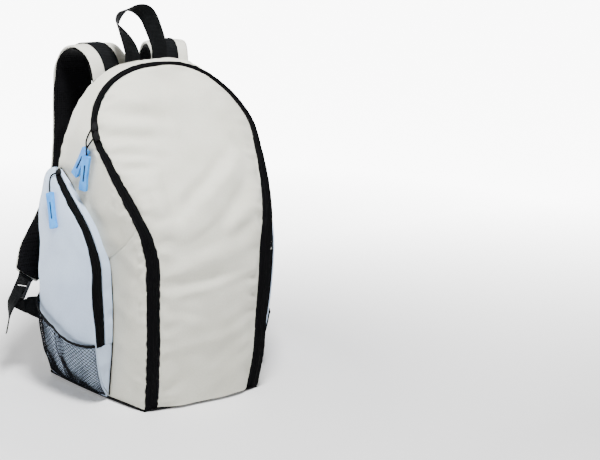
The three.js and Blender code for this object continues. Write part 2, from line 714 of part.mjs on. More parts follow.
function addPocket(side, shape) {
  const name = (piece) => `${piece}_${side}`;
  const place = side === 'left' ? (grid) => grid : mirroredGrid;
  const placeFrames = side === 'left' ? (frames) => frames : mirroredFrames;
  const addWall = (piece, grid, wall, colour) =>
    addBetween(name(piece), place(grid), place(movedIn(grid, wall)), colour);
  const zipRow = pocketRowAt(pocketZipFoot);
  const bandLow = (row) => shape.depthAt(row) * pocketBandFrom;
  const bandHigh = (row) => shape.depthAt(row) - (fabricWall + clothGap) * (1 + Math.max(0, 1 - row / 3));
  const face = facePlaces.map((row) => faceRows.map((section) => shape.facePoint(row, section.across)));
  addWall('pocket_face', face, fabricWall, paleBlue);
  const wallGrid = (rows, highOf) => rows.map((row) =>
    steps(2).map((s) => shape.wallPoint(row, pocketRim + s * (highOf(row) - pocketRim))));
  const lowRows = steps(4).map((s) => s * zipRow);
  const highRows = steps(14).map((s) => zipRow + 0.02 + s * (lastPocketRow - 0.6 - zipRow));
  addWall('pocket_lower_gusset', wallGrid(lowRows, bandHigh), fabricWall, paleBlue);
  addWall('pocket_gusset', wallGrid(highRows, (row) => bandLow(row) - clothGap), fabricWall, paleBlue);
  const zipFrames = highRows.map((row, i) => {
    const from = shape.wallPoint(row, bandLow(row));
    const to = shape.wallPoint(row, bandHigh(row));
    const near = highRows[Math.max(0, i - 1)];
    const far = highRows[Math.min(highRows.length - 1, i + 1)];
    const along = shape.wallPoint(far, bandHigh(far)).sub(shape.wallPoint(near, bandHigh(near)));
    const x = to.clone().sub(from).normalize();
    const half = from.distanceTo(to) / 2;
    return { origin: from.clone().lerp(to, 0.5), x, y: along.cross(x).normalize(), half };
  });
  const zipSectionAt = (i) => zipSection(zipFrames[i].half);
  addSwept(name('pocket_zip'), placeFrames(zipFrames), zipSectionAt, black, { roughness: 0.6 });
  const pipingFrames = steps(18).map((s) => {
    const row = 0.15 + s * (lastPocketRow - 0.3);
    const step = 0.05;
    const at = (r, out) => shape.sidePoint(r, pocketColumns.front(r), out);
    const x = at(row, 1).sub(at(row, 0)).normalize();
    const y = at(row + step, 0).sub(at(row - step, 0)).cross(x).normalize();
    const origin = at(row, pocketPipingRadius + seamGap).addScaledVector(y, pocketPipingRadius + 2 * seamGap);
    return { origin, x, y };
  });
  const piping = roundSection(pocketPipingRadius, 5);
  addSwept(name('pocket_piping'), placeFrames(pipingFrames), () => piping, black);
  addMeshPocket(name, place, placeFrames, shape);
}

function addMeshPocket(name, place, placeFrames, shape) {
  const rows = 10;
  const surface = steps(rows).map((s) => meshTopRows.map((top) => {
    const height = meshFoot + s ** 1.4 * (top.height * meshHeight - meshFoot);
    return shape.facePoint(pocketRowAt(height), top.across);
  }));
  const normals = gridNormals(surface);
  const raised = (extra) => surface.map((row, i) => row.map((p, j) => {
    const slack = meshSlack * meshTopRows[j].slack * Math.min(1, 0.3 + i / rows);
    return p.clone().addScaledVector(normals[i][j], meshSeat + slack + extra);
  }));
  const outer = raised(meshWall);
  addBetween(name('mesh_pocket'), place(outer), place(raised(0)), meshBlack);
  const frames = outer[rows].map((p, j) => {
    const x = p.clone().sub(outer[rows - 1][j]).normalize();
    const y = normals[rows][j];
    const origin = p.clone().addScaledVector(x, seamGap + bindingWidth / 2).addScaledVector(y, -meshWall / 2);
    return { origin, x, y };
  });
  const section = boxSection(bindingWidth, -bindingThickness / 2, bindingThickness / 2);
  addSwept(name('mesh_binding'), placeFrames(frames), () => section, black);
}

function addSlider(name, frames) {
  const low = coilHeight + seamGap;
  const section = (i) => {
    const half = (sliderWidth * sliderWidths[i]) / 2;
    return [[-half, low], [half, low], [half * 0.75, low + sliderHeight], [-half * 0.75, low + sliderHeight]];
  };
  addSwept(name, frames, section, lockGrey, { roughness: 0.4 });
}

// A moulded pull with a waist and a slot, hung from top to bottom with its face to a direction.
function addPull(name, top, bottom, face) {
  const half = pullWidth / 2;
  const shape = new THREE.Shape();
  shape.moveTo(-half * 0.8, 0);
  shape.lineTo(half * 0.8, 0);
  shape.quadraticCurveTo(half, 0, half, pullLength * 0.06);
  shape.quadraticCurveTo(pullWaist / 2, pullLength * 0.5, half, pullLength * 0.94);
  shape.quadraticCurveTo(half, pullLength, half * 0.8, pullLength);
  shape.lineTo(-half * 0.8, pullLength);
  shape.quadraticCurveTo(-half, pullLength, -half, pullLength * 0.94);
  shape.quadraticCurveTo(-pullWaist / 2, pullLength * 0.5, -half, pullLength * 0.06);
  shape.quadraticCurveTo(-half, 0, -half * 0.8, 0);
  const slotHalf = pullSlotWidth / 2;
  const slotLow = pullLength * 0.26;
  const slot = new THREE.Path();
  slot.moveTo(-slotHalf, slotLow);
  slot.lineTo(-slotHalf, slotLow + pullSlotLength);
  slot.lineTo(slotHalf, slotLow + pullSlotLength);
  slot.lineTo(slotHalf, slotLow);
  slot.closePath();
  shape.holes.push(slot);
  const options = { depth: pullThickness, bevelEnabled: false, curveSegments: 4 };
  const geometry = new THREE.ExtrudeGeometry(shape, options).translate(0, 0, -pullThickness / 2);
  const along = bottom.clone().sub(top).normalize();
  const wide = along.clone().cross(face).normalize();
  const normal = wide.clone().cross(along);
  geometry.applyMatrix4(new THREE.Matrix4().makeBasis(wide, along, normal).setPosition(top));
  addGeometry(name, geometry, pullBlue, 0.45);
}

// The round cord from a slider to its pull.
function addLink(name, points) {
  const curve = new THREE.CatmullRomCurve3(points);
  const frames = steps(6).map((s) => {
    const along = curve.getTangent(s);
    const x = new THREE.Vector3(0, 1, 0).cross(along).normalize();
    return { origin: curve.getPoint(s), x, y: along.cross(x).normalize() };
  });
  addSwept(name, frames, () => roundSection(linkRadius, 6), black);
}

// The left gusset's outer surface at a depth and a height, a distance out.
function gussetAt(depth, height, out) {
  const place = placeAt(height);
  const front = gussetPoint(place, 0).y;
  const across = (depth - front) / (gussetPoint(place, 1).y - front);
  return gussetPoint(place, across).addScaledVector(gussetNormal(place, across), out);
}

// A slider, its cord and its pull. The cord leaves the slider on the given side of its frames.
function addPullSet(label, sliderFrames, side, via, top, bottom, face) {
  const middle = sliderFrames[2];
  addSlider(`${label}_slider`, sliderFrames);
  const start = middle.origin.clone()
    .addScaledVector(middle.x, side * (sliderWidth / 2 + linkRadius))
    .addScaledVector(middle.y, coilHeight + seamGap + sliderHeight / 2);
  const direction = top.clone().sub(bottom).normalize();
  addLink(`${label}_link`, [start, via, top.clone().addScaledVector(direction, clothGap + seamGap)]);
  addPull(`${label}_pull`, top, bottom, face);
}

// The upper slider keeps its height over the side pocket, and the lower one its distance from it.
function addMainPulls() {
  const rowsAlong = (length) => (length / zipPath.getLength()) * 2 * topRow;
  mainPulls.forEach((pull, i) => {
    const place = placeAt(pocketHeight + upperSliderAbove) - i * rowsAlong(sliderSpacing);
    const frames = [-0.5, -0.2, 0.2, 0.5].map((s) => zipFrame(place - s * rowsAlong(sliderLength)));
    const slider = frames[2].origin;
    const tilt = THREE.MathUtils.degToRad(pull.tilt);
    const depth = slider.y + pull.back;
    const height = slider.z - pull.hang;
    const reach = pullLength * Math.sin(tilt);
    const drop = pullLength * Math.cos(tilt);
    const at = (share, out) => gussetAt(depth + share * reach, height - share * drop, out);
    const chordAt = (share) => at(0, 0).lerp(at(1, 0), share);
    const bow = Math.max(...steps(4).map((s) => at(s, 0).distanceTo(chordAt(s))));
    const top = at(0, pull.out + bow);
    const bottom = at(1, pull.out + bow);
    const face = at(0.5, 1).sub(at(0.5, 0)).setZ(0)
      .applyAxisAngle(zAxis, THREE.MathUtils.degToRad(pull.turn)).normalize();
    const via = gussetAt(slider.y + pull.back * 0.6, slider.z - pull.hang * 0.55, pull.out + linkRadius);
    addPullSet(`main_${pull.name}`, frames, -1, via, top, bottom, face);
  });
}

function addPocketPull(side, shape) {
  const row = lastPocketRow - 1.1;
  const middle = (r) => (shape.depthAt(r) * (1 + pocketBandFrom) - fabricWall - 2 * seamGap) / 2;
  const frameAt = (r) => {
    const at = (place) => shape.wallPoint(place, middle(place));
    const along = at(r + 0.1).sub(at(r - 0.1)).normalize();
    const x = shape.wallPoint(r, middle(r) + 1).sub(at(r)).normalize();
    return { origin: at(r), x, y: along.cross(x).normalize() };
  };
  const frames = [0.28, 0.1, -0.1, -0.28].map((s) => frameAt(row + s));
  const topRowOfPull = pocketRowAt(pocketHeight - pocketPullDrop);
  const top = shape.facePoint(topRowOfPull, 0.3);
  const normal = shape.faceNormal(topRowOfPull, 0.3);
  const bottom = shape.facePoint(pocketRowAt(pocketHeight - pocketPullDrop - pullLength), 0.42);
  const out = pullThickness / 2 + pocketPullGap;
  const face = normal.clone().setZ(0).setY(normal.y - 0.15).normalize();
  const via = shape.facePoint(lastPocketRow - 1.5, 0.12).addScaledVector(normal, out);
  const turn = (p) => (side === 'left' ? p : mirrored(p));
  const lifted = [top, bottom].map((p) => turn(p.clone().addScaledVector(normal, out)));
  const placed = side === 'left' ? frames : mirroredFrames(frames);
  addPullSet(`pocket_${side}`, placed, 1, turn(via), lifted[0], lifted[1], turn(face));
}

const strapColumns = columnsOf(strapRows, ['width']);
const strapRootDepth = backPlane + clothGap + backPadding + webbingThickness + strapPadThickness
  + 2 * seamGap;
const strapPath = new THREE.CatmullRomCurve3(strapRows.map((row) => new THREE.Vector3(
  -strapRootOut - row.out * (strapEndOut - strapRootOut),
  strapRootDepth + row.back * strapReach,
  strapRootHeight + row.rise * strapArchRise - row.drop * (strapRootHeight - strapEndHeight),
)), false, 'centripetal');
const lastStrapRow = strapRows.length - 1;

// Frame of the left strap: x across it, y out to its covered side.
function strapFrame(place) {
  const along = strapPath.getTangent(place / lastStrapRow);
  const x = xAxis.clone().addScaledVector(along, -along.x).normalize();
  return { origin: strapPath.getPoint(place / lastStrapRow), x, y: x.clone().cross(along).normalize() };
}

function addStraps() {
  const places = [...steps(12).map((s) => s * 6.5), 7.5, 8.5, 9.25, 10, 10.75, 11.5, 12, 12.4, 12.75, 13];
  const frames = places.map(strapFrame);
  const half = (i) => (strapWidth / 2) * strapColumns.width(places[i]);
  const rounded = (i, low, high) => {
    const profile = [[half(i), low], [half(i) - 1, low + (high - low) * 0.6], [half(i) - 6, high]];
    const stripe = [Math.min(webbingWidth / 2, half(i) - 7), high];
    return [...profile, stripe, ...[stripe, ...profile.reverse()].map(([x, y]) => [-x, y])];
  };
  addSweptPair('strap_pad', frames, (i) => rounded(i, seamGap / 2, strapPadThickness), ivory);
  addSweptPair('strap_lining', frames, (i) => rounded(i, -seamGap / 2, -strapLiningThickness), meshBlack);
  const low = strapPadThickness + seamGap;
  const stripe = frames.filter((_, i) => places[i] <= webbingEndPlace);
  const webbing = boxSection(webbingWidth, low, low + webbingThickness).reverse();
  addSweptPair('strap_webbing', stripe, () => webbing, black, { roughness: 0.7 });
}

// Frames along webbing given as pairs of a point on its middle line and the line of its width.
function ribbonFrames(pairs) {
  return pairs.map(([point, wide], i) => {
    const before = pairs[Math.max(0, i - 1)][0];
    const along = pairs[Math.min(pairs.length - 1, i + 1)][0].clone().sub(before).normalize();
    const x = wide.clone().addScaledVector(along, -along.dot(wide)).normalize();
    return { origin: point, x, y: x.clone().cross(along) };
  });
}

// The ladder lock at the left strap's end: x across it, y up its three bars, z to the outside.
function addLock() {
  const up = new THREE.Vector3(...lockTurn).normalize();
  const centre = strapPath.getPoint(1).addScaledVector(up, -lockDrop);
  const turned = new THREE.Vector3(...lockAcross);
  const wide = turned.clone().addScaledVector(up, -up.dot(turned)).normalize();
  const normal = wide.clone().cross(up).normalize();
  const at = (y, z) => centre.clone().addScaledVector(up, y).addScaledVector(normal, z);
  const matrix = new THREE.Matrix4().makeBasis(wide, up, normal).setPosition(centre);
  const outline = (width, low, high) => boxSection(width, low, high)
    .map(([x, y]) => new THREE.Vector2(x, y));
  const shape = new THREE.Shape(outline(lockWidth, -lockHeight / 2, lockHeight / 2));
  const slotHeight = (lockHeight - 3 * lockBar) / 2;
  for (const low of [lockBar / 2, -lockBar / 2 - slotHeight]) {
    const slot = outline(webbingWidth + 2, low, low + slotHeight);
    shape.holes.push(new THREE.Path(slot.reverse()));
  }
  const geometry = new THREE.ExtrudeGeometry(shape, { depth: lockThickness, bevelEnabled: false });
  geometry.translate(0, 0, -lockThickness / 2).applyMatrix4(matrix);
  addGeometry('ladder_lock_left', geometry, lockGrey, 0.4);
  addGeometry('ladder_lock_right', mirroredGeometry(geometry), lockGrey, 0.4);
  const lift = lockThickness / 2 + webbingThickness / 2 + 2 * seamGap;
  const barTop = lockBar / 2 + webbingThickness / 2 + 2 * seamGap;
  const upperBar = lockHeight / 2 - lockBar;
  const end = lockHeight / 2;
  const lockTab = [[end + 3, -lift + 0.5], [upperBar + 1, -lift], [upperBar - 1.1, -lift + 1],
    [upperBar - 1.6, 0], [upperBar - 1.1, lift - 1], [upperBar + 1, lift], [end + 1, lift]];
  const strapEnd = strapFrame(lastStrapRow);
  const offEnd = (distance) => strapEnd.origin.clone().addScaledVector(strapPath.getTangent(1), distance);
  const halfTurned = wide.clone().add(strapEnd.x).normalize();
  const tab = [...lockTab.map(([y, z]) => [at(y, z), wide]),
    [offEnd(4.5), halfTurned], [offEnd(1.8), strapEnd.x], [offEnd(seamGap), strapEnd.x]];
  addSweptPair('strap_tab', ribbonFrames(tab), () => ribbonSection(), black, { roughness: 0.7 });
  const wing = new THREE.Vector3(-backWidth / 2 - wingReach, backPlane + wingBack, wingTop);
  const seat = wingThickness / 2 + webbingThickness / 2 + 2 * seamGap;
  const alongWing = new THREE.Vector3(wingReach, -wingBack, 0).normalize();
  const atTip = wing.clone().addScaledVector(zAxis.clone().cross(alongWing), -seat)
    .setZ(wingTop - webbingWidth / 2);
  const onWing = (back) => [atTip.clone().addScaledVector(alongWing, back), zAxis];
  const middle = wide.clone().add(zAxis).normalize();
  const rise = [[-end - 7, -lift - 1, middle], [-end, -lift, wide], [-lockBar / 2, -lift, wide],
    [barTop, -lift + 0.8, wide], [barTop + 0.8, 0, wide], [barTop, lift - 0.8, wide],
    [-lockBar / 2, lift, wide], [-end, lift, wide], [-end - 8, lift + 1.5, wide]]
    .map(([y, z, w]) => [at(y, z), w]);
  const hanging = new THREE.Vector3(...tailAcross);
  const tail = tailRows.map((row) => [
    at(-end - 8, lift + 1.5)
      .add(new THREE.Vector3(-row.out * tailReach, -row.front * tailReach, -row.drop * tailLength)),
    wide.clone().lerp(hanging, Math.min(1, row.drop * 2)).normalize(),
  ]);
  const webbing = [onWing(18), onWing(1), ...rise, ...tail];
  addSweptPair('adjuster_webbing', ribbonFrames(webbing), () => ribbonSection(), black, { roughness: 0.7 });
}

function ribbonSection() {
  return boxSection(webbingWidth, -webbingThickness / 2, webbingThickness / 2);
}

function mirroredGeometry(geometry) {
  return geometry.clone().applyMatrix4(new THREE.Matrix4().makeScale(-1, 1, 1));
}

// Triangular wing sewn into the back seam, which holds the strap's webbing.
function addWings() {
  const root = -backWidth / 2 - 0.2;
  const depth = backPlane + seamGap + wingThickness / 2;
  const grid = (y) => [
    [new THREE.Vector3(root, depth + y, wingFoot), new THREE.Vector3(root, depth + y, wingTop)],
    [
      new THREE.Vector3(root - wingReach, backPlane + wingBack + y, wingTop - webbingWidth),
      new THREE.Vector3(root - wingReach, backPlane + wingBack + y, wingTop),
    ],
  ];
  const outer = grid(wingThickness / 2);
  const inner = grid(-wingThickness / 2);
  addBetween('anchor_wing_left', outer, inner, black);
  addBetween('anchor_wing_right', mirroredGrid(outer), mirroredGrid(inner), black);
}

function addHaulLoop() {
  const line = new THREE.CatmullRomCurve3(loopRows.map((row) => new THREE.Vector3(
    row.out * loopSpread - row.lean * loopLean,
    backPlane + clothGap + backRim / 2,
    backHeight + clothGap + row.height * loopHeight,
  )), false, 'centripetal');
  const turnAt = columnOf(loopRows, 'turn');
  const frames = steps(27).map((s) => {
    const along = line.getTangent(s);
    const flat = new THREE.Vector3(0, 1, 0).cross(along).normalize();
    const x = flat.applyAxisAngle(along, THREE.MathUtils.degToRad(turnAt(s * (loopRows.length - 1))));
    return { origin: line.getPoint(s), x, y: x.clone().cross(along) };
  });
  addSwept('haul_loop', frames, () => ribbonSection(), black, { roughness: 0.7 });
}

const leftPocket = pocketShape(leftPocketDepth);
const rightPocket = pocketShape(rightPocketDepth);

addFlap();
addMainZip();
addGussets();
addBackPanel();
addBase();
addLining();
addPocket('left', leftPocket);
addPocket('right', rightPocket);
addMainPulls();
addPocketPull('left', leftPocket);
addPocketPull('right', rightPocket);
addStraps();
addLock();
addWings();
addHaulLoop();

export default bag;
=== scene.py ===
"""Cooler backpack: the cloth, zips, net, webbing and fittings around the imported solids.

Dimensions are in millimetres and the scene is in metres. +Z is up, the flap faces -Y and the
straps are on the +Y side. A place on the main zip counts rows of ZIP_ROWS from its left foot,
over the arch and down to its right foot.
"""

import math

import bmesh
import bpy
import numpy as np
from mathutils import Matrix, Vector


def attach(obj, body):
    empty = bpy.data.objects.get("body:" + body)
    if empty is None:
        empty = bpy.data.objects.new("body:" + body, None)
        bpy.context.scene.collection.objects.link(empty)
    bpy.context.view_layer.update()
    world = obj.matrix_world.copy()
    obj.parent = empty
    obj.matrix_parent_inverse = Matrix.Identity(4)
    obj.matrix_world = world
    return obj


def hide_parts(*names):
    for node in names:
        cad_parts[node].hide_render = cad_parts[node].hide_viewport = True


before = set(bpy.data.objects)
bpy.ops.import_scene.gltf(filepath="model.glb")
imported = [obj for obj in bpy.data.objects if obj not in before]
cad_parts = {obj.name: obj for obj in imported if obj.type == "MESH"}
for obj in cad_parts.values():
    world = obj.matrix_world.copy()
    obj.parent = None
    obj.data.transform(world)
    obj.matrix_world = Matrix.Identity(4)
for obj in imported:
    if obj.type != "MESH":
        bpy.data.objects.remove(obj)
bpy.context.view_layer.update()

MM = 0.001
SIDES = {"left": 1, "right": -1}

# The bag
PACK_HEIGHT = 460
PACK_DEPTH = 191
BACK_WIDTH = 298
BACK_HEIGHT = 454
BACK_ARCH_FOOT = 150
BACK_ARCH_POWER = 2.96
FOOT = 4.6
BACK_PLANE = PACK_DEPTH / 2
CLOTH_GAP = 0.6
SEAM_GAP = 0.3
FABRIC_WALL = 1.6
FLAP_WALL = 2
FLAP_CROWN = 15
GUSSET_BULGE = 5
BACK_PADDING = 9
BACK_RIM = 2
BACK_CHANNELS_X = (-44, 44)
BACK_CHANNEL_Z = 205

# Main zip
ZIP_WIDTH = 20
TAPE_THICKNESS = 1.2
TAPE_WALL = 0.5
COIL_HALF_WIDTH = 2.4
COIL_PITCH = 1.5
STITCH_INSET = 1.6
STITCH_PITCH = 3.2
STITCH_LENGTH = 2.2
STITCH_RADIUS = 0.28

# Side pockets
POCKET_HEIGHT = 318
POCKET_FOOT = 7
POCKET_DEPTH = {"left": 41, "right": 26}
POCKET_DOME = 5
POCKET_ZIP_FOOT = 92
POCKET_RIM = 1.4
POCKET_FOOT_DEPTH = 5.6
POCKET_BAND_FROM = 0.48
NET_HEIGHT = 122
NET_FOOT = 12
NET_SLACK = 6.5
NET_SEAT = 1.7
NET_STRAND = 1.2
NET_COLUMNS = 45
NET_ROW_COUNT = 33

# Camera
CAMERA_AIM = (0, 0, 235)
CAMERA_DISTANCE = 1800
CAMERA_TURN = -31.42
CAMERA_RISE = 16.6
CAMERA_ROLL = 1.854
CAMERA_LENS = 75.46
CAMERA_SHIFT = (0.2065, -0.0064)

# Line of the main zip from the base to the middle of the arch.
# Columns: height, out, depth, lean, tape, crown, back
ZIP_ROWS = (
    (0.0, 0.57, -0.462, -5, 1, 0.3, 0.0),
    (0.12, 0.591, -0.5, -4, 1, 0.5, 0.12),
    (0.25, 0.597, -0.503, 0, 1, 0.65, 0.25),
    (0.38, 0.611, -0.499, 2, 1, 0.8, 0.38),
    (0.47, 0.617, -0.49, 9, 1, 0.9, 0.47),
    (0.56, 0.671, -0.435, 25, 0.86, 1, 0.56),
    (0.65, 0.752, -0.293, 35, 0.74, 1, 0.65),
    (0.74, 0.819, -0.115, 40, 0.6, 1, 0.742),
    (0.82, 0.852, 0.052, 41, 0.5, 0.95, 0.825),
    (0.89, 0.755, 0.186, 42, 0.45, 0.75, 0.9),
    (0.95, 0.562, 0.276, 44, 0.42, 0.45, 0.957),
    (0.988, 0.315, 0.302, 46, 0.4, 0.15, 0.992),
    (1.0, 0.0, 0.306, 47, 0.4, 0.0, 1.0),
)

# Side pocket from its foot to its peak. Columns: height, front, depth, flare
POCKET_ROWS = (
    (0.0, 0.345, 0.06, 0.05),
    (0.06, 0.34, 0.37, 0.06),
    (0.13, 0.335, 0.58, 0.07),
    (0.2, 0.325, 0.75, 0.07),
    (0.29, 0.32, 0.88, 0.07),
    (0.4, 0.318, 0.96, 0.04),
    (0.51, 0.322, 1, 0.02),
    (0.62, 0.34, 1, 0.1),
    (0.72, 0.39, 0.98, 0.26),
    (0.82, 0.475, 0.92, 0.46),
    (0.9, 0.59, 0.82, 0.52),
    (0.96, 0.74, 0.64, 0.5),
    (0.99, 0.87, 0.42, 0.4),
    (1.0, 0.94, 0.2, 0.2),
)

# Section of the pocket's face from its zip to the back seam. Columns: across, out, swell
FACE_ROWS = (
    (0, 1, 0),
    (0.14, 1, 0.55),
    (0.38, 1, 1),
    (0.62, 1, 0.85),
    (0.8, 0.96, 0.4),
    (0.91, 0.78, 0.1),
    (0.975, 0.45, 0),
    (1, 0, 0),
)

# Top edge of the net pocket. Columns: across, height, slack
NET_ROWS = (
    (0, 0.77, 0),
    (0.14, 0.74, 0.6),
    (0.38, 0.76, 1),
    (0.47, 0.86, 1),
    (0.62, 0.9, 1),
    (0.8, 1, 0.6),
    (0.91, 1.06, 0.2),
    (0.975, 1.08, 0),
)

# Seam between the upper gusset and the side panel. Columns: across, height
SLANT_ROWS = (
    (0, 0.578),
    (0.2, 0.51),
    (0.41, 0.44),
    (0.7, 0.34),
    (1, 0.24),
)

# Soft folds of the flap, pressed in where the depth is positive and raised where it is negative.
# Columns: from x, from z, to x, to z, width, depth
FLAP_FOLDS = (
    (-84, 432, -62, 437, 8, 4.5),
    (-98, 422, -58, 410, 7, -3.9),
    (-58, 410, 60, 420, 14, -3.3),
    (-96, 400, -38, 394, 8, 6.3),
    (-112, 388, -30, 380, 9, -4.5),
    (-104, 373, -60, 371, 6, 4.8),
    (-114, 361, -70, 364, 6, -4.2),
    (-110, 353, -54, 348, 6, 4.8),
    (-104, 343, -66, 345, 5, -3.0),
    (-102, 334, -68, 336, 6, 3.9),
    (-56, 314, -52, 282, 9, 4.5),
    (-76, 300, -68, 268, 10, -3.6),
    (-34, 292, 40, 336, 9, 5.1),
    (0, 298, 60, 330, 10, -3.9),
    (-8, 252, 64, 302, 11, 6.0),
    (38, 262, 94, 288, 11, -4.5),
    (-62, 236, 38, 248, 14, 5.4),
    (-40, 212, 60, 232, 12, -2.2),
    (-56, 188, 30, 190, 10, 3.0),
    (-60, 172, 96, 198, 7, -3.2),
    (-66, 150, -26, 140, 8, 2.4),
    (-54, 92, 48, 112, 9, -2.2),
    (-60, 72, 0, 84, 11, 1.6),
    (20, 66, 84, 44, 14, 1.4),
    (84, 352, 112, 318, 9, 3.6),
    (86, 252, 98, 226, 8, 3.3),
)


def unit(vectors):
    return vectors / np.maximum(np.linalg.norm(vectors, axis=-1, keepdims=True), 1e-9)


def column(rows, index):
    """A column of a table as a smooth function of the row."""
    values = np.array([row[index] for row in rows], float)
    last = len(values) - 1

    def at(place):
        place = np.clip(np.asarray(place, float), 0, last)
        row = place.astype(int)
        share = place - row
        near = [values[np.clip(row + step, 0, last)] for step in (-1, 0, 1, 2)]
        start, end = (near[2] - near[0]) / 2, (near[3] - near[1]) / 2
        return (
            (2 * near[1] - 2 * near[2] + start + end) * share ** 3
            + (-3 * near[1] + 3 * near[2] - 2 * start - end) * share ** 2
            + start * share
            + near[1]
        )

    return at


def row_at(rows, index, value):
    """The row, with its fraction, at which a rising column has a value."""
    return np.interp(value, [row[index] for row in rows], np.arange(len(rows)))


class Line:
    """Smooth line through points. A place on it counts the points from the first."""

    def __init__(self, points):
        points = np.array(points, float)
        before = 2 * points[0] - points[1]
        after = 2 * points[-1] - points[-2]
        self.knots = np.vstack([before, points, after])
        self.last = len(points) - 1

    def at(self, place):
        place = np.clip(np.asarray(place, float), 0, self.last)
        row = np.minimum(place.astype(int), self.last - 1)
        share = (place - row)[..., None]
        a, b, c, d = (self.knots[row + step] for step in range(4))
        sides = (b - a, c - b, d - c)
        gaps = [np.linalg.norm(side, axis=-1, keepdims=True) ** 0.5 for side in sides]
        start = ((b - a) / gaps[0] - (c - a) / (gaps[0] + gaps[1]) + (c - b) / gaps[1]) * gaps[1]
        end = ((c - b) / gaps[1] - (d - b) / (gaps[1] + gaps[2]) + (d - c) / gaps[2]) * gaps[1]
        return b + start * share + (-3 * b + 3 * c - 2 * start - end) * share ** 2 + (
            2 * b - 2 * c + start + end
        ) * share ** 3

    def direction(self, place):
        step = 0.0001 * self.last
        return unit(self.at(np.asarray(place) + step) - self.at(np.asarray(place) - step))

    def even_places(self, start, end, count):
        """Places from start to end at even distances along the line."""
        fine = np.linspace(start, end, 600)
        length = np.linalg.norm(np.diff(self.at(fine), axis=0), axis=1)
        run = np.concatenate([[0], np.cumsum(length)])
        return np.interp(np.linspace(0, run[-1], count), run, fine)


TOP_ROW = len(ZIP_ROWS) - 1
LAST_POCKET_ROW = len(POCKET_ROWS) - 1
zip_lean, zip_tape, zip_crown = (column(ZIP_ROWS, index) for index in (3, 4, 5))
pocket_height, pocket_front, pocket_depth, pocket_flare = (
    column(POCKET_ROWS, index) for index in range(4)
)
face_out, face_swell = (column(FACE_ROWS, index) for index in (1, 2))
net_height, net_slack = (column(NET_ROWS, index) for index in (1, 2))


def arch_line(point_of):
    left = [point_of(row) for row in ZIP_ROWS]
    return Line(left + [(-x, y, z) for x, y, z in reversed(left[:-1])])


def zip_point(row):
    height, out, depth = row[:3]
    return (-out * BACK_WIDTH / 2, depth * PACK_DEPTH, FOOT + height * (PACK_HEIGHT - FOOT))


def back_point(row):
    height = FOOT + row[6] * (BACK_HEIGHT - FOOT)
    rise = min(1, max(0, (height - BACK_ARCH_FOOT) / (BACK_HEIGHT - BACK_ARCH_FOOT)))
    half = BACK_WIDTH / 2 * (1 - rise ** BACK_ARCH_POWER) ** (1 / BACK_ARCH_POWER)
    return (-half, BACK_PLANE, height)


zip_line = arch_line(zip_point)
back_line = arch_line(back_point)


def zip_frame(place):
    """Middle of the zip, its direction to the flap, its outward side, and half its tape's width."""
    row = TOP_ROW - np.abs(TOP_ROW - place)
    lean = np.radians(zip_lean(row))
    along = zip_line.direction(place)
    flap_normal = np.stack([np.zeros_like(lean), -np.cos(lean), np.sin(lean)], -1)
    inward = unit(np.cross(along, flap_normal))
    half = (ZIP_WIDTH * zip_tape(row) / 2)[..., None]
    return zip_line.at(place), inward, unit(np.cross(inward, along)), half, flap_normal


def flap_surface(place, across):
    middle, inward, _, half, flap_normal = zip_frame(place)
    edge = middle + inward * (half + CLOTH_GAP)
    crown = FLAP_CROWN * np.maximum(0, zip_crown(TOP_ROW - np.abs(TOP_ROW - place)))
    point = np.stack([-edge[..., 0] * across, edge[..., 1], edge[..., 2]], -1)
    return point + flap_normal * (crown * (1 - np.abs(across) ** 2.2))[..., None]


def gusset_surface(place, across):
    middle, inward, outward, half, _ = zip_frame(place)
    edge = middle - inward * half - outward * (TAPE_THICKNESS + CLOTH_GAP)
    back = back_line.at(place)
    side = unit(np.cross(zip_line.direction(place), back - edge))
    bulge = (GUSSET_BULGE * np.sin(np.pi * across))[..., None]
    return edge + (back - edge) * np.asarray(across)[..., None] + side * bulge


def gusset_normal(place, across):
    step = 0.01
    up = gusset_surface(place + step, across) - gusset_surface(np.maximum(0, place - step), across)
    near = gusset_surface(place, np.maximum(0, across - step))
    far = gusset_surface(place, np.minimum(1, across + step))
    return unit(np.cross(up, far - near))


def side_point(row, across, out):
    """Point off the left gusset, at a row of the pocket and a distance out."""
    height = POCKET_FOOT + pocket_height(row) * (POCKET_HEIGHT - POCKET_FOOT)
    place = row_at(ZIP_ROWS, 0, (height - FOOT) / (PACK_HEIGHT - FOOT))
    out = np.asarray(out, float)[..., None]
    return gusset_surface(place, across) + gusset_normal(place, across) * out


def depth_at(side, row):
    return np.maximum(POCKET_FOOT_DEPTH, POCKET_DEPTH[side] * pocket_depth(row))


def front_at(row, out):
    return pocket_front(row) - pocket_flare(row) * (out - POCKET_RIM) / PACK_DEPTH


def face_surface(side, row, across):
    section = row_at(FACE_ROWS, 0, across)
    deep = depth_at(side, row)
    front = front_at(row, deep)
    dome = POCKET_DOME * face_swell(section) * np.maximum(0, pocket_depth(row))
    out = POCKET_RIM + (deep - POCKET_RIM) * face_out(section) + dome
    return side_point(row, front + (1 - front) * across, out)


def band_low(side, row):
    return depth_at(side, row) * POCKET_BAND_FROM


def band_high(side, row):
    wall = FABRIC_WALL + CLOTH_GAP
    return depth_at(side, row) - wall * (1 + np.maximum(0, 1 - row / 3))


def wall_surface(row, out):
    return side_point(row, front_at(row, out), out)


def pocket_row(height):
    return row_at(POCKET_ROWS, 0, (np.asarray(height) - POCKET_FOOT) / (POCKET_HEIGHT - POCKET_FOOT))


def on_side(points, side):
    return points * np.array([SIDES[side], 1, 1])


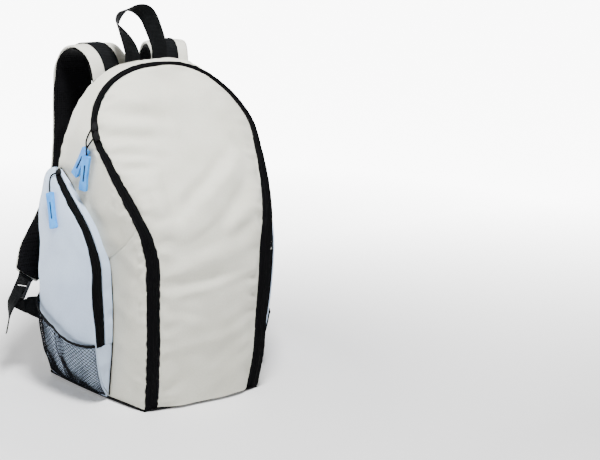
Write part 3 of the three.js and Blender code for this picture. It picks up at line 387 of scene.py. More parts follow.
def soft_noise(points, size, seed):
    """Smooth noise of about -1 to 1 with lumps of the given size."""
    rng = np.random.default_rng(seed)
    total = np.zeros(points.shape[:-1])
    waves = 16
    for _ in range(waves):
        turn = unit(rng.normal(size=3)) * 2 * np.pi / size * rng.uniform(0.6, 1.5)
        total += np.sin(points @ turn + rng.uniform(0, 2 * np.pi))
    return total / math.sqrt(waves / 2)


def outward_normals(surface):
    """Unit normals of a grid of points, away from the middle of the bag."""
    normals = np.cross(np.gradient(surface, axis=1), np.gradient(surface, axis=0))
    normals = unit(normals)
    facing = np.sum(normals * (surface - np.array([0, 0, 200])))
    return normals if facing > 0 else -normals


def kept_off_lining(shift, lift, least):
    """The shift of a cloth, lifted a little and eased off where it would press on its lining."""
    ease = 0.8
    return least + ease * np.logaddexp(0, (shift + lift - least) / ease)


def fold_depths(points, folds):
    """How far each point of the flap is pressed in by its folds."""
    total = np.zeros(points.shape[:-1])
    plan = points[..., (0, 2)]
    for x0, z0, x1, z1, width, depth in folds:
        start, end = np.array([x0, z0]), np.array([x1, z1])
        run = end - start
        share = np.clip(((plan - start) @ run) / (run @ run), -0.2, 1.2)
        gap = np.linalg.norm(plan - start - share[..., None] * run, axis=-1)
        fade = np.clip(1 - np.maximum(0, np.abs(share - 0.4) - 0.3), 0, 1)
        total += depth * fade * (np.exp(-(gap / width) ** 2) - 0.2 * np.exp(-(gap / width / 2.2) ** 2))
    return total


def puckers(points, distance, reach, size, seed):
    """Small gathers at a sewn edge, from the distance of each point to it."""
    return soft_noise(points, size, seed) * np.exp(-(distance / reach) ** 1.5)


def distance_from_edge(surface, edge):
    """Distance of each point of a grid from its first or last column."""
    steps = np.linalg.norm(np.diff(surface, axis=1), axis=-1)
    run = np.concatenate([np.zeros((len(surface), 1)), np.cumsum(steps, axis=1)], axis=1)
    return run if edge == 0 else run[:, -1:] - run


def frayed(surface, edge, amount, seed):
    """The grid with its first or last column waving a little along the cloth."""
    inner = 1 if edge == 0 else -2
    toward = unit(surface[:, edge] - surface[:, inner])
    wave = soft_noise(surface[:, edge], 9, seed) * 0.6 + soft_noise(surface[:, edge], 22, seed + 1) * 0.5
    distance = distance_from_edge(surface, edge)
    fade = np.exp(-(distance / 5) ** 2)
    return surface + toward[:, None] * (np.clip(wave, -1, 1) * amount)[:, None, None] * fade[..., None]


# Finishes


def new_finish(name, roughness, **inputs):
    """A material with its node tree, its shader and its object coordinates."""
    material = bpy.data.materials.new(name)
    material.use_nodes = True
    tree = material.node_tree
    shader = tree.nodes["Principled BSDF"]
    shader.inputs["Roughness"].default_value = roughness
    for key, value in inputs.items():
        shader.inputs[key.replace("_", " ")].default_value = value
    place = tree.nodes.new("ShaderNodeTexCoord").outputs["Object"]
    return material, tree, shader, place


def noise(tree, place, size, detail=2.0):
    """Noise with lumps of about the given size in millimetres."""
    texture = tree.nodes.new("ShaderNodeTexNoise")
    texture.inputs["Scale"].default_value = 1000 / size
    texture.inputs["Detail"].default_value = detail
    tree.links.new(place, texture.inputs["Vector"])
    return texture.outputs[0]


def ribs(tree, place, axis, pitch, distortion=0.0):
    """Waves across an axis, one every pitch millimetres."""
    texture = tree.nodes.new("ShaderNodeTexWave")
    texture.bands_direction = axis
    texture.inputs["Scale"].default_value = 314.16 / pitch
    texture.inputs["Distortion"].default_value = distortion
    tree.links.new(place, texture.inputs["Vector"])
    return texture.outputs["Fac"]


def maths(tree, operation, first, second):
    """A Math node. Its inputs are sockets or numbers."""
    step = tree.nodes.new("ShaderNodeMath")
    step.operation = operation
    for socket, value in zip(step.inputs, (first, second)):
        if isinstance(value, (int, float)):
            socket.default_value = value
        else:
            tree.links.new(value, socket)
    return step.outputs[0]


def stretch(tree, value, low, high, to_low, to_high):
    step = tree.nodes.new("ShaderNodeMapRange")
    for socket, number in zip(list(step.inputs)[1:5], (low, high, to_low, to_high)):
        socket.default_value = number
    tree.links.new(value, step.inputs[0])
    return step.outputs[0]


def blend(tree, factor, first, second):
    """A colour between two, which are sockets or colours."""
    mix = tree.nodes.new("ShaderNodeMix")
    mix.data_type = "RGBA"
    tree.links.new(factor, mix.inputs[0])
    for socket, value in ((mix.inputs[6], first), (mix.inputs[7], second)):
        if isinstance(value, tuple):
            socket.default_value = (*value, 1)
        else:
            tree.links.new(value, socket)
    return mix.outputs[2]


def paint(tree, shader, tone):
    """A finish's colour, from a node."""
    tree.links.new(tone, shader.inputs["Base Color"])


def raise_surface(tree, shader, height, distance, strength=1.0):
    """Bump of the given depth in millimetres."""
    bump = tree.nodes.new("ShaderNodeBump")
    bump.inputs["Strength"].default_value = strength
    bump.inputs["Distance"].default_value = distance * MM
    tree.links.new(height, bump.inputs["Height"])
    tree.links.new(bump.outputs[0], shader.inputs["Normal"])


def threads(tree, place, pitch):
    """Height of a plain weave, the sum of ribs on the three axes."""
    across = [ribs(tree, place, axis, pitch, 0.6) for axis in "XYZ"]
    return maths(tree, "ADD", maths(tree, "MULTIPLY", across[0], across[1]), across[2])


def canvas(name, light, shade, thread=1.1, sheen=0.2):
    """Plain woven polyester with soft blotches, flecks in its threads, painted shade in the weave's low
    threads and a little sheen.
    """
    material, tree, shader, place = new_finish(name, 0.82, Sheen_Weight=sheen, Sheen_Roughness=0.5)
    shader.inputs["Specular IOR Level"].default_value = 0.3
    blotch = stretch(tree, noise(tree, place, 70, 3), 0.35, 0.65, 0, 1)
    fleck = stretch(tree, noise(tree, place, 2.2, 2), 0.35, 0.7, 0, 1)
    weave = threads(tree, place, thread)
    base = blend(tree, blotch, light, tuple(0.6 * a + 0.4 * b for a, b in zip(light, shade)))
    flecked = blend(tree, maths(tree, "MULTIPLY", fleck, 0.3), base, shade)
    # Painted shade: the weave's low threads are darkened towards the shade colour.
    wear_and_weave_shade = blend(tree, stretch(tree, weave, 0, 2, 0.22, 0), flecked, shade)
    tree.links.new(wear_and_weave_shade, shader.inputs["Base Color"])
    tree.links.new(stretch(tree, fleck, 0, 1, 0.76, 0.9), shader.inputs["Roughness"])
    crumple = maths(tree, "MULTIPLY", noise(tree, place, 26, 4), 6)
    raise_surface(tree, shader, maths(tree, "ADD", weave, crumple), 0.16, 0.55)
    return material


def webbing_cloth(name, dark, light, axis="Z", pitch=1.9):
    """Ribbed polyester webbing with fine crossing threads and dusty high threads."""
    material, tree, shader, place = new_finish(name, 0.7)
    shader.inputs["Specular IOR Level"].default_value = 0.03
    rib = ribs(tree, place, axis, pitch, 0.8)
    thread = threads(tree, place, 0.9)
    wear_and_weave_shade = stretch(tree, noise(tree, place, 12, 4), 0.4, 0.75, 0, 0.6)
    tone = blend(tree, maths(tree, "MULTIPLY", rib, 0.5), dark, light)
    dusty = blend(tree, maths(tree, "MULTIPLY", wear_and_weave_shade, thread), tone, light)
    tree.links.new(dusty, shader.inputs["Base Color"])
    tree.links.new(stretch(tree, wear_and_weave_shade, 0, 0.6, 0.62, 0.85), shader.inputs["Roughness"])
    height = maths(tree, "ADD", rib, maths(tree, "MULTIPLY", thread, 0.4))
    raise_surface(tree, shader, height, 0.25, 0.7)
    return material


def air_mesh_cloth(name, dark, light):
    """Spacer mesh: small round holes in rows, over a darker ground."""
    material, tree, shader, place = new_finish(name, 0.95, Sheen_Weight=0.02)
    shader.inputs["Specular IOR Level"].default_value = 0.03
    cells = tree.nodes.new("ShaderNodeTexVoronoi")
    cells.inputs["Scale"].default_value = 1000 / 3.4
    cells.inputs["Randomness"].default_value = 0.15
    tree.links.new(place, cells.inputs["Vector"])
    rim = stretch(tree, cells.outputs["Distance"], 0.25, 0.5, 0, 1)
    fibre = noise(tree, place, 1.2, 2)
    tone = blend(tree, maths(tree, "MULTIPLY", rim, fibre), dark, light)
    paint(tree, shader, tone)
    tree.links.new(stretch(tree, fibre, 0.3, 0.7, 0.85, 1), shader.inputs["Roughness"])
    raise_surface(tree, shader, rim, 0.6, 0.8)
    return material


def lining_cloth(name, light, shade):
    """Smooth coated lining with soft wrinkles and a faint sheen."""
    material, tree, shader, place = new_finish(name, 0.45, Coat_Weight=0.1, Coat_Roughness=0.4)
    wrinkle = noise(tree, place, 34, 5)
    fleck = noise(tree, place, 3, 2)
    tone = blend(tree, stretch(tree, wrinkle, 0.35, 0.65, 0, 1), light, shade)
    paint(tree, shader, tone)
    tree.links.new(stretch(tree, fleck, 0.3, 0.7, 0.38, 0.55), shader.inputs["Roughness"])
    height = maths(tree, "ADD", wrinkle, maths(tree, "MULTIPLY", fleck, 0.05))
    raise_surface(tree, shader, height, 1.4, 0.6)
    return material


def moulded(name, light, shade, roughness=0.42, gloss=0.4):
    """Moulded plastic with a fine grain and slight wear."""
    material, tree, shader, place = new_finish(name, roughness)
    shader.inputs["Specular IOR Level"].default_value = gloss
    grain = noise(tree, place, 0.9, 2)
    wear = noise(tree, place, 9, 4)
    tone = blend(tree, stretch(tree, wear, 0.35, 0.7, 0, 1), light, shade)
    paint(tree, shader, tone)
    low, high = roughness - 0.08, roughness + 0.12
    tree.links.new(stretch(tree, wear, 0.3, 0.7, low, high), shader.inputs["Roughness"])
    raise_surface(tree, shader, grain, 0.08, 0.5)
    return material


def corded(name, dark, light, pitch=1.6):
    """Twisted or bound cord: slanting strands."""
    material, tree, shader, place = new_finish(name, 0.6)
    shader.inputs["Specular IOR Level"].default_value = 0.06
    strand = ribs(tree, place, "DIAGONAL", pitch, 0.5)
    fuzz = noise(tree, place, 1.5, 3)
    tone = blend(tree, maths(tree, "MULTIPLY", strand, fuzz), dark, light)
    paint(tree, shader, tone)
    tree.links.new(stretch(tree, fuzz, 0.3, 0.7, 0.5, 0.75), shader.inputs["Roughness"])
    raise_surface(tree, shader, strand, 0.2, 0.7)
    return material


IVORY = canvas("ivory_canvas_cloth", (0.76, 0.755, 0.66), (0.56, 0.55, 0.46))
IVORY_SIDE = canvas("ivory_side_cloth", (0.74, 0.73, 0.635), (0.55, 0.54, 0.45))
IVORY_STRAP = canvas("ivory_strap_cloth", (0.75, 0.745, 0.67), (0.56, 0.55, 0.48))
PALE_BLUE = canvas("pale_blue_cloth", (0.54, 0.66, 0.84), (0.38, 0.48, 0.64), 1.0, 0.3)
ZIP_TAPE = webbing_cloth("zip_tape_cloth", (0.0012, 0.0012, 0.0014), (0.005, 0.005, 0.006), "Z", 1.5)
WEBBING = webbing_cloth("black_webbing_cloth", (0.002, 0.0022, 0.0025), (0.011, 0.012, 0.013))
BASE_CLOTH = webbing_cloth("base_cloth", (0.003, 0.003, 0.0033), (0.012, 0.012, 0.013), "X", 1.3)
PIPING = corded("piping_cord", (0.002, 0.002, 0.0023), (0.01, 0.01, 0.011))
NET_THREAD = corded("net_thread", (0.003, 0.0035, 0.005), (0.012, 0.014, 0.018), 0.8)
AIR_MESH = air_mesh_cloth("air_mesh_cloth", (0.0012, 0.0012, 0.0014), (0.007, 0.007, 0.008))
LINING = lining_cloth("white_lining_cloth", (0.82, 0.83, 0.86), (0.7, 0.71, 0.75))
LINING_NET = lining_cloth("white_net_cloth", (0.78, 0.79, 0.81), (0.62, 0.63, 0.66))
PULL_BLUE = moulded("blue_pull_rubber", (0.035, 0.33, 0.86), (0.02, 0.24, 0.74), 0.5, 0.3)
PULL_DARK = moulded("dark_inlay_rubber", (0.006, 0.01, 0.018), (0.01, 0.015, 0.025), 0.6, 0.1)
SLIDER_DARK = moulded("dark_slider_enamel", (0.003, 0.003, 0.0033), (0.009, 0.009, 0.01), 0.55, 0.05)
BUCKLE = moulded("black_buckle_plastic", (0.006, 0.006, 0.007), (0.022, 0.023, 0.025), 0.42, 0.2)
CORD = corded("pull_cord", (0.003, 0.003, 0.0033), (0.014, 0.014, 0.015), 1.1)
BLACK_THREAD = corded("black_thread", (0.006, 0.006, 0.007), (0.02, 0.02, 0.022), 0.6)


# Making pieces


def select_only(piece):
    bpy.ops.object.select_all(action="DESELECT")
    piece.select_set(True)
    bpy.context.view_layer.objects.active = piece


def apply(piece, kind, **settings):
    """Adds a modifier and applies it."""
    select_only(piece)
    modifier = piece.modifiers.new(kind.lower(), kind)
    for key, value in settings.items():
        setattr(modifier, key, value)
    bpy.ops.object.modifier_apply(modifier=modifier.name)


def smooth(piece, angle=40):
    select_only(piece)
    bpy.ops.object.shade_smooth_by_angle(angle=math.radians(angle))


def dressed(piece, finish, slot, *nodes):
    """Gives a piece its finish, hangs it on the root body and hides the solids it stands for. The slot
    is not used.
    """
    piece.data.materials.clear()
    piece.data.materials.append(finish)
    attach(piece, "root")
    if nodes:
        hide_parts(*nodes)
    return piece


def grid_piece(name, surface):
    """A grid primitive laid on a surface given in millimetres, facing out of the bag."""
    rows, columns = surface.shape[:2]
    bpy.ops.object.select_all(action="DESELECT")
    bpy.ops.mesh.primitive_grid_add(x_subdivisions=columns - 1, y_subdivisions=rows - 1)
    piece = bpy.context.object
    piece.name = name
    normals = np.cross(np.gradient(surface, axis=1), np.gradient(surface, axis=0))
    facing = np.sum(unit(normals) * (surface - np.array([0, 0, 200])))
    laid = surface if facing > 0 else surface[:, ::-1]
    piece.data.vertices.foreach_set("co", (laid * MM).astype(np.float32).reshape(-1))
    piece.data.update()
    return piece


def merged(piece, distance=0.01):
    shape = bmesh.new()
    shape.from_mesh(piece.data)
    bmesh.ops.remove_doubles(shape, verts=shape.verts, dist=distance * MM)
    bmesh.ops.dissolve_degenerate(shape, edges=shape.edges, dist=0.001 * MM)
    shape.to_mesh(piece.data)
    shape.free()
    return piece


def cloth(name, surface, wall):
    """Cloth of the given thickness under an outer surface."""
    piece = merged(grid_piece(name, surface))
    apply(piece, "SOLIDIFY", thickness=wall * MM, offset=-1)
    smooth(piece, 50)
    return piece


def softened(name, node, levels=2, sharp=50, crease=0.75):
    """A copy of a solid with its facets rounded over and its sharp edges kept."""
    piece = placed(name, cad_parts[node].data.copy())
    shape = bmesh.new()
    shape.from_mesh(piece.data)
    bmesh.ops.remove_doubles(shape, verts=shape.verts, dist=0.005 * MM)
    bmesh.ops.join_triangles(
        shape,
        faces=shape.faces,
        angle_face_threshold=math.radians(35),
        angle_shape_threshold=math.radians(60),
    )
    layer = shape.edges.layers.float.new("crease_edge")
    for edge in shape.edges:
        if edge.calc_face_angle(0) > math.radians(sharp):
            edge[layer] = crease
    mesh = bpy.data.meshes.new(name)
    shape.to_mesh(mesh)
    shape.free()
    for extra in [item.name for item in mesh.attributes if item.name == "custom_normal"]:
        mesh.attributes.remove(mesh.attributes[extra])
    piece.data = mesh
    if levels:
        apply(piece, "SUBSURF", levels=levels, render_levels=levels)
    smooth(piece, 50)
    return piece


def moved(piece, shift_of):
    """Moves a piece's points along their normals by a distance worked out from their places."""
    mesh = piece.data
    places = np.empty(len(mesh.vertices) * 3, np.float32)
    mesh.vertices.foreach_get("co", places)
    places = places.reshape(-1, 3).astype(float) / MM
    normals = np.array([vertex.normal for vertex in mesh.vertices])
    places += normals * shift_of(places)[:, None]
    mesh.vertices.foreach_set("co", (places * MM).astype(np.float32).reshape(-1))
    mesh.update()
    return piece


def placed(name, mesh):
    """An object in the scene that shows a mesh."""
    piece = bpy.data.objects.new(name, mesh)
    bpy.context.scene.collection.objects.link(piece)
    return piece


def shaped(name, shape):
    """An object made of an edited shape, facing outwards."""
    bmesh.ops.recalc_face_normals(shape, faces=shape.faces)
    mesh = bpy.data.meshes.new(name)
    shape.to_mesh(mesh)
    shape.free()
    return placed(name, mesh)


def repeated(name, vertices, faces, finish, slot):
    """A small shape repeated along a line, from its corners in millimetres, corner by corner."""
    corners = len(vertices)
    copies = len(vertices[0])
    every = [tuple(corners * copy + k for k in face) for copy in range(copies) for face in faces]
    mesh = bpy.data.meshes.new(name)
    mesh.from_pydata((np.stack(vertices, 1).reshape(-1, 3) * MM).tolist(), [], every)
    shape = bmesh.new()
    shape.from_mesh(mesh)
    bmesh.ops.recalc_face_normals(shape, faces=shape.faces)
    shape.to_mesh(mesh)
    shape.free()
    piece = placed(name, mesh)
    smooth(piece, 80)
    return dressed(piece, finish, slot)


def length_run(points):
    """Distance of each point of a line from its first."""
    steps = np.linalg.norm(np.diff(points, axis=0), axis=1)
    return np.concatenate([[0], np.cumsum(steps)])


def between(where, run, data):
    """Values at distances along a line, from those at its points."""
    return np.stack([np.interp(where, run, data[:, axis]) for axis in range(3)], -1)


def stitch_row(name, points, normals, finish, slot):
    """Stitches along a line on a cloth, each a small spindle of thread."""
    radius = STITCH_RADIUS
    run = length_run(points)
    starts = np.arange(STITCH_PITCH, run[-1] - STITCH_PITCH, STITCH_PITCH)
    tail, head = between(starts, run, points), between(starts + STITCH_LENGTH, run, points)
    up = unit(between(starts, run, normals))
    along = unit(head - tail)
    side = np.cross(along, up)
    vertices = [tail - up * radius * 0.4, head - up * radius * 0.4]
    for share in (0.2, 0.8):
        middle = tail + (head - tail) * share
        vertices += [middle + side * radius, middle + up * radius * 0.9, middle - side * radius]
        vertices += [middle - up * radius * 0.6]
    faces = [(0, 2 + (k + 1) % 4, 2 + k) for k in range(4)]
    faces += [(2 + k, 2 + (k + 1) % 4, 6 + (k + 1) % 4, 6 + k) for k in range(4)]
    faces += [(1, 6 + k, 6 + (k + 1) % 4) for k in range(4)]
    return repeated(name, vertices, faces, finish, slot)


# The bag's cloth


def make_flap():
    places = zip_line.even_places(0, TOP_ROW, 170)[:, None]
    across = np.sin(np.linspace(-1, 1, 111) * np.pi / 2) * 0.25 + np.linspace(-1, 1, 111) * 0.75
    surface = flap_surface(places + 0 * across, across + 0 * places)
    edge_distance = np.minimum(distance_from_edge(surface, 0), distance_from_edge(surface, 1))
    calm = 1 - np.exp(-edge_distance / 14)
    shift = -fold_depths(surface, FLAP_FOLDS) * calm
    shift += soft_noise(surface, 110, 3) * 1.6 * calm + soft_noise(surface, 40, 4) * 0.6 * calm
    level = surface * np.array([0.3, 1, 1])
    shift += puckers(level, edge_distance, 24, 19, 5) * 2.0 * np.exp(-(3 / (edge_distance + 1)))
    shift = kept_off_lining(shift, 5.2 * calm, -0.7)
    surface = surface + outward_normals(surface) * shift[..., None]
    surface = frayed(frayed(surface, 0, 0.8, 6), -1, 0.6, 8)
    surface[0, :, 2] = FOOT
    dressed(cloth("flap", surface, FLAP_WALL), IVORY, "ivory_canvas", "flap_panel")


def gusset_cloth(surface, seed):
    """Gathers and slow waves in a side panel's surface."""
    from_zip = distance_from_edge(surface, 0)
    from_back = distance_from_edge(surface, 1)
    shift = puckers(surface, from_zip, 15, 14, seed) * 1.3 * np.exp(-1.5 / (from_zip + 0.5))
    shift += puckers(surface, from_back, 14, 18, seed + 1) * 0.6
    calm = (1 - np.exp(-from_zip / 18)) * (1 - np.exp(-from_back / 18))
    shift += (soft_noise(surface, 90, seed + 2) * 1.8 + soft_noise(surface, 34, seed + 3) * 0.7) * calm
    shift = kept_off_lining(shift, 0.8 * calm, -0.6)
    return frayed(surface + outward_normals(surface) * shift[..., None], 0, 1.5, seed + 4)


def rolled_in(surface, row, reach=2.2, depth=1.0):
    """The grid with one of its end rows rolled in, as cloth is at a seam."""
    steps = np.linalg.norm(np.diff(surface, axis=0), axis=-1)
    run = np.concatenate([np.zeros((1, surface.shape[1])), np.cumsum(steps, axis=0)])
    distance = run if row == 0 else run[-1:] - run
    return surface - outward_normals(surface) * (depth * np.exp(-(distance / reach) ** 2))[..., None]


def slant_places(across):
    rows = [row_at(ZIP_ROWS, 0, height) for _, height in SLANT_ROWS]
    return np.interp(across, [row[0] for row in SLANT_ROWS], rows)


def make_gussets():
    across = np.linspace(0, 1, 56)
    slant = slant_places(across)
    gap = SEAM_GAP / 2 / PACK_HEIGHT * TOP_ROW
    top = math.ceil(slant[0])
    share = np.linspace(0, 1, 70)[:, None] ** 1.3
    rise = slant + gap + share * (top - slant - gap)
    arch = zip_line.even_places(top, TOP_ROW, 70)[1:, None] + 0 * across
    left = np.vstack([rise, arch])
    places = np.vstack([left, 2 * TOP_ROW - left[-2::-1]])
    surface = gusset_surface(places, across + 0 * places)
    surface = rolled_in(rolled_in(gusset_cloth(surface, 20), 0), -1)
    dressed(cloth("upper_side", surface, FABRIC_WALL), IVORY_SIDE, "ivory_canvas", "upper_gusset")
    lower = (1 - np.linspace(1, 0, 110)[:, None] ** 1.2) * (slant - gap)
    surface = gusset_surface(lower, across + 0 * lower)
    surface = rolled_in(gusset_cloth(surface, 30), -1)
    surface[0, :, 2] = FOOT
    for side in SIDES:
        piece = cloth(f"lower_side_{side}", on_side(surface, side), FABRIC_WALL)
        dressed(piece, IVORY_SIDE, "ivory_canvas_side", f"lower_gusset_{side}")


# Section of a zip: two flat tapes whose folded edges meet in the middle.
# Columns: share of half the width, height, share of the coil's half width
ZIP_SECTION = (
    (-1, -0.7, 0),
    (-0.97, -0.1, 0),
    (-0.8, 0, 0),
    (0, 0, -1.25),
    (0, 0.75, -1.0),
    (0, 1.1, -0.55),
    (0, 0.95, -0.2),
    (0, 0.1, -0.06),
    (0, 0.1, 0.06),
    (0, 0.95, 0.2),
    (0, 1.1, 0.55),
    (0, 0.75, 1.0),
    (0, 0, 1.25),
    (0.8, 0, 0),
    (0.97, -0.1, 0),
    (1, -0.7, 0),
)


def zip_surface(middle, inward, outward, half, seed):
    """The outer surface of a zip's tapes, slightly waved at their sewn edges."""
    coil = np.minimum(COIL_HALF_WIDTH, half * 0.62)
    columns = []
    for share, height, place in ZIP_SECTION:
        wave = soft_noise(middle, 11, seed)[:, None] * 0.25 * abs(share)
        low = wave - (0.0 if height > 0 else 0.05)
        columns.append(middle + inward * (half * share + coil * place) + outward * (height + low))
    return np.stack(columns, axis=1)


def coil_teeth(name, middle, along, inward, outward):
    """The coil seen between the folded edges: one small bead for each turn."""
    run = length_run(middle)
    where = np.arange(COIL_PITCH * 2, run[-1] - COIL_PITCH * 2, COIL_PITCH)
    forward, side, up = (unit(between(where, run, data)) for data in (along, inward, outward))
    centre = between(where, run, middle) + up * 0.55
    ring = []
    for turn in range(6):
        angle = math.tau * turn / 6
        ring.append(centre + side * (0.5 * math.cos(angle)) + up * (0.42 * math.sin(angle)))
    tips = [centre - forward * COIL_PITCH * 0.42, centre + forward * COIL_PITCH * 0.42]
    faces = [(6, (k + 1) % 6, k) for k in range(6)] + [(7, k, (k + 1) % 6) for k in range(6)]
    return repeated(name, ring + tips, faces, SLIDER_DARK, "black_zip")


def make_main_zip():
    places = zip_line.even_places(0, 2 * TOP_ROW, 520)
    middle, inward, outward, half, _ = zip_frame(places)
    surface = zip_surface(middle, inward, outward, half, 40)
    surface[0, :, 2] = surface[-1, :, 2] = FOOT
    dressed(cloth("main_zip_tapes", surface, TAPE_WALL), ZIP_TAPE, "black_zip", "main_zip")
    coil_teeth("main_zip_coil", middle, zip_line.direction(places), inward, outward)


def make_pocket(side):
    """The pocket's face, its wall beside the zip and its wall at the foot."""
    zip_row = float(pocket_row(POCKET_ZIP_FOOT))
    zip_end = LAST_POCKET_ROW - 0.6
    foot, middle, peak = np.linspace(0, 2, 26), np.linspace(2, 10, 72)[1:], np.linspace(10, 13, 46)[1:]
    rows = np.concatenate([foot, middle, peak])[:, None]
    across = np.linspace(0, 1, 72)
    surface = face_surface(side, rows + 0 * across, across + 0 * rows)
    from_zip = distance_from_edge(surface, 0)
    from_back = distance_from_edge(surface, 1)
    calm = (1 - np.exp(-from_zip / 16)) * (1 - np.exp(-from_back / 12))
    shift = soft_noise(surface, 80, 50) * 1.2 * calm + soft_noise(surface, 30, 51) * 0.3 * calm
    shift += puckers(surface, from_zip, 9, 17, 52) * 0.5 * np.exp(-1 / (from_zip + 0.5))
    shift += puckers(surface, from_back, 14, 22, 53) * 0.6 * np.exp(-2 / (from_back + 0.5))
    surface = surface + outward_normals(surface) * shift[..., None]
    face = cloth(f"pocket_front_{side}", on_side(surface, side), FABRIC_WALL)
    dressed(face, PALE_BLUE, "pale_blue_canvas", f"pocket_face_{side}")
    beside_zip = np.linspace(zip_row + 0.02, zip_end, 100)[:, None]
    at_foot = np.linspace(0, zip_row, 44)[:, None]
    walls = (
        ("pocket_side", "pocket_gusset", beside_zip, band_low(side, beside_zip) - CLOTH_GAP, 60),
        ("pocket_foot", "pocket_lower_gusset", at_foot, band_high(side, at_foot), 64),
    )
    for name, node, rows, high, seed in walls:
        share = np.linspace(0, 1, 12)
        out = POCKET_RIM + share * (high - POCKET_RIM)
        wall = wall_surface(rows + 0 * share, out)
        edge = np.minimum(distance_from_edge(wall, 0), distance_from_edge(wall, 1))
        wave = soft_noise(wall, 26, seed) * 0.6 * (1 - np.exp(-edge / 4))
        wall = wall + outward_normals(wall) * wave[..., None]
        piece = cloth(f"{name}_{side}", on_side(wall, side), FABRIC_WALL)
        dressed(piece, PALE_BLUE, "pale_blue_canvas", f"{node}_{side}")
    make_pocket_zip(side, np.linspace(zip_row + 0.02, zip_end, 200))


def make_pocket_zip(side, rows):
    low = wall_surface(rows, band_low(side, rows))
    high = wall_surface(rows, band_high(side, rows))
    middle, inward = (low + high) / 2, unit(high - low)
    along = unit(np.gradient(high, axis=0))
    outward = unit(np.cross(along, inward))
    half = np.linalg.norm(high - low, axis=1, keepdims=True) / 2
    surface = zip_surface(middle, inward, outward, half, 70)
    tapes = cloth(f"pocket_zip_tapes_{side}", on_side(surface, side), TAPE_WALL)
    dressed(tapes, ZIP_TAPE, "black_zip", f"pocket_zip_{side}")
    turned = [on_side(data, side) for data in (middle, along, inward, outward)]
    coil_teeth(f"pocket_zip_coil_{side}", *turned)


# Gathers of the net. Columns: across, width, share of the slack taken up
NET_GATHERS = (
    (0.52, 0.01, 0.55),
    (0.74, 0.01, 0.55),
)


def net_surface(side, across, rise):
    """The slack net in front of the pocket's face, from its foot, rise 0, to its top edge, 1."""
    place = row_at(NET_ROWS, 0, across)
    top = net_height(place) * NET_HEIGHT
    height = NET_FOOT + rise ** 1.4 * (top - NET_FOOT)
    point = face_surface(side, pocket_row(height), across)
    ahead = face_surface(side, pocket_row(height + 2), across)
    beside = face_surface(side, pocket_row(height), np.minimum(across + 0.01, 1))
    normal = unit(np.cross(ahead - point, beside - point))
    slack = NET_SLACK * net_slack(place) * np.minimum(1, 0.3 + rise)
    for middle, width, share in NET_GATHERS:
        slack = slack * (1 - share * np.exp(-((across - middle) / width) ** 2))
    ripple = soft_noise(point, 40, 80) * 0.6 * np.sin(np.pi * np.clip(rise, 0, 1))
    return point + normal * (NET_SEAT + np.maximum(0, slack + ripple))[..., None]


def make_net(side):
    """A net of slanting threads, drawn closer where it is gathered."""
    columns, rows = NET_COLUMNS, NET_ROW_COUNT
    plain = np.linspace(0.004, 0.971, 400)
    run = np.cumsum(1 + sum(
        np.exp(-((plain - middle) / (2.2 * width)) ** 2) * 0.06 for middle, width, _ in NET_GATHERS
    ))
    across = np.interp(np.linspace(run[0], run[-1], columns), run, plain)
    rise = np.linspace(0, 1, rows) ** 0.8
    wide, tall = np.meshgrid(across, rise)
    points = on_side(net_surface(side, wide, tall), side)
    shape = bmesh.new()
    corners = [[shape.verts.new(point * MM) for point in row] for row in points]
    for i in range(rows):
        for j in range(columns):
            if (i + j) % 2 == 0:
                continue
            around = [(i, j - 1), (i - 1, j), (i, j + 1), (i + 1, j)]
            kept = [corners[a][b] for a, b in around if 0 <= a < rows and 0 <= b < columns]
            if len(kept) > 2:
                shape.faces.new(kept)
    loose = [vertex for vertex in shape.verts if not vertex.link_faces]
    bmesh.ops.delete(shape, geom=loose, context="VERTS")
    piece = shaped(f"net_pocket_{side}", shape)
    apply(piece, "WIREFRAME", thickness=NET_STRAND * MM, use_boundary=True, use_even_offset=False)
    smooth(piece, 80)
    dressed(piece, NET_THREAD, "black_net", f"mesh_pocket_{side}")
    binding = softened(f"net_binding_{side}", f"mesh_binding_{side}", 2)
    moved(binding, lambda places: soft_noise(places, 9, 83) * 0.3)
    dressed(binding, WEBBING, "black_net", f"mesh_binding_{side}")


# Padding, straps and fittings


def make_back_panel():
    """Air-mesh back: thin at its rim and full inside, pressed in along its sewn channels."""
    places = back_line.even_places(0, TOP_ROW, 120)[:, None]
    across = np.linspace(-1, 1, 91)
    seam = back_line.at(places[:, 0])
    plan = np.stack([seam[:, :1] * -across, np.zeros((120, 91)), seam[:, 2:3] + 0 * across], -1)
    from_rim = -seam[:, :1] * (1 - np.abs(across))
    from_rim = np.minimum(from_rim, (BACK_HEIGHT - seam[:, 2:3]) * 0.8 + 0 * across)
    from_rim = np.minimum(from_rim, seam[:, 2:3] - FOOT + 0 * across)
    full = 1 - np.exp(-(from_rim / 9) ** 1.5)
    thickness = BACK_RIM + (BACK_PADDING - BACK_RIM) * full
    for channel in BACK_CHANNELS_X:
        thickness = thickness - 3.2 * np.exp(-((plan[..., 0] - channel) / 5) ** 2) * full
    thickness = thickness - 2.6 * np.exp(-((plan[..., 2] - BACK_CHANNEL_Z) / 5) ** 2) * full
    thickness += soft_noise(plan, 60, 90) * 0.5 * full
    surface = plan + np.array([0, BACK_PLANE + CLOTH_GAP, 0])
    surface[..., 1] += thickness
    piece = merged(grid_piece("back_padding", surface))
    select_only(piece)
    bpy.ops.object.mode_set(mode="EDIT")
    bpy.ops.mesh.select_all(action="SELECT")
    bpy.ops.mesh.extrude_region_move()
    bpy.ops.transform.resize(value=(1, 0, 1), center_override=(0, (BACK_PLANE + CLOTH_GAP) * MM, 0.2))
    bpy.ops.mesh.select_all(action="SELECT")
    bpy.ops.mesh.normals_make_consistent(inside=False)
    bpy.ops.object.mode_set(mode="OBJECT")
    smooth(piece, 50)
    dressed(piece, AIR_MESH, "black_air_mesh", "back_panel")


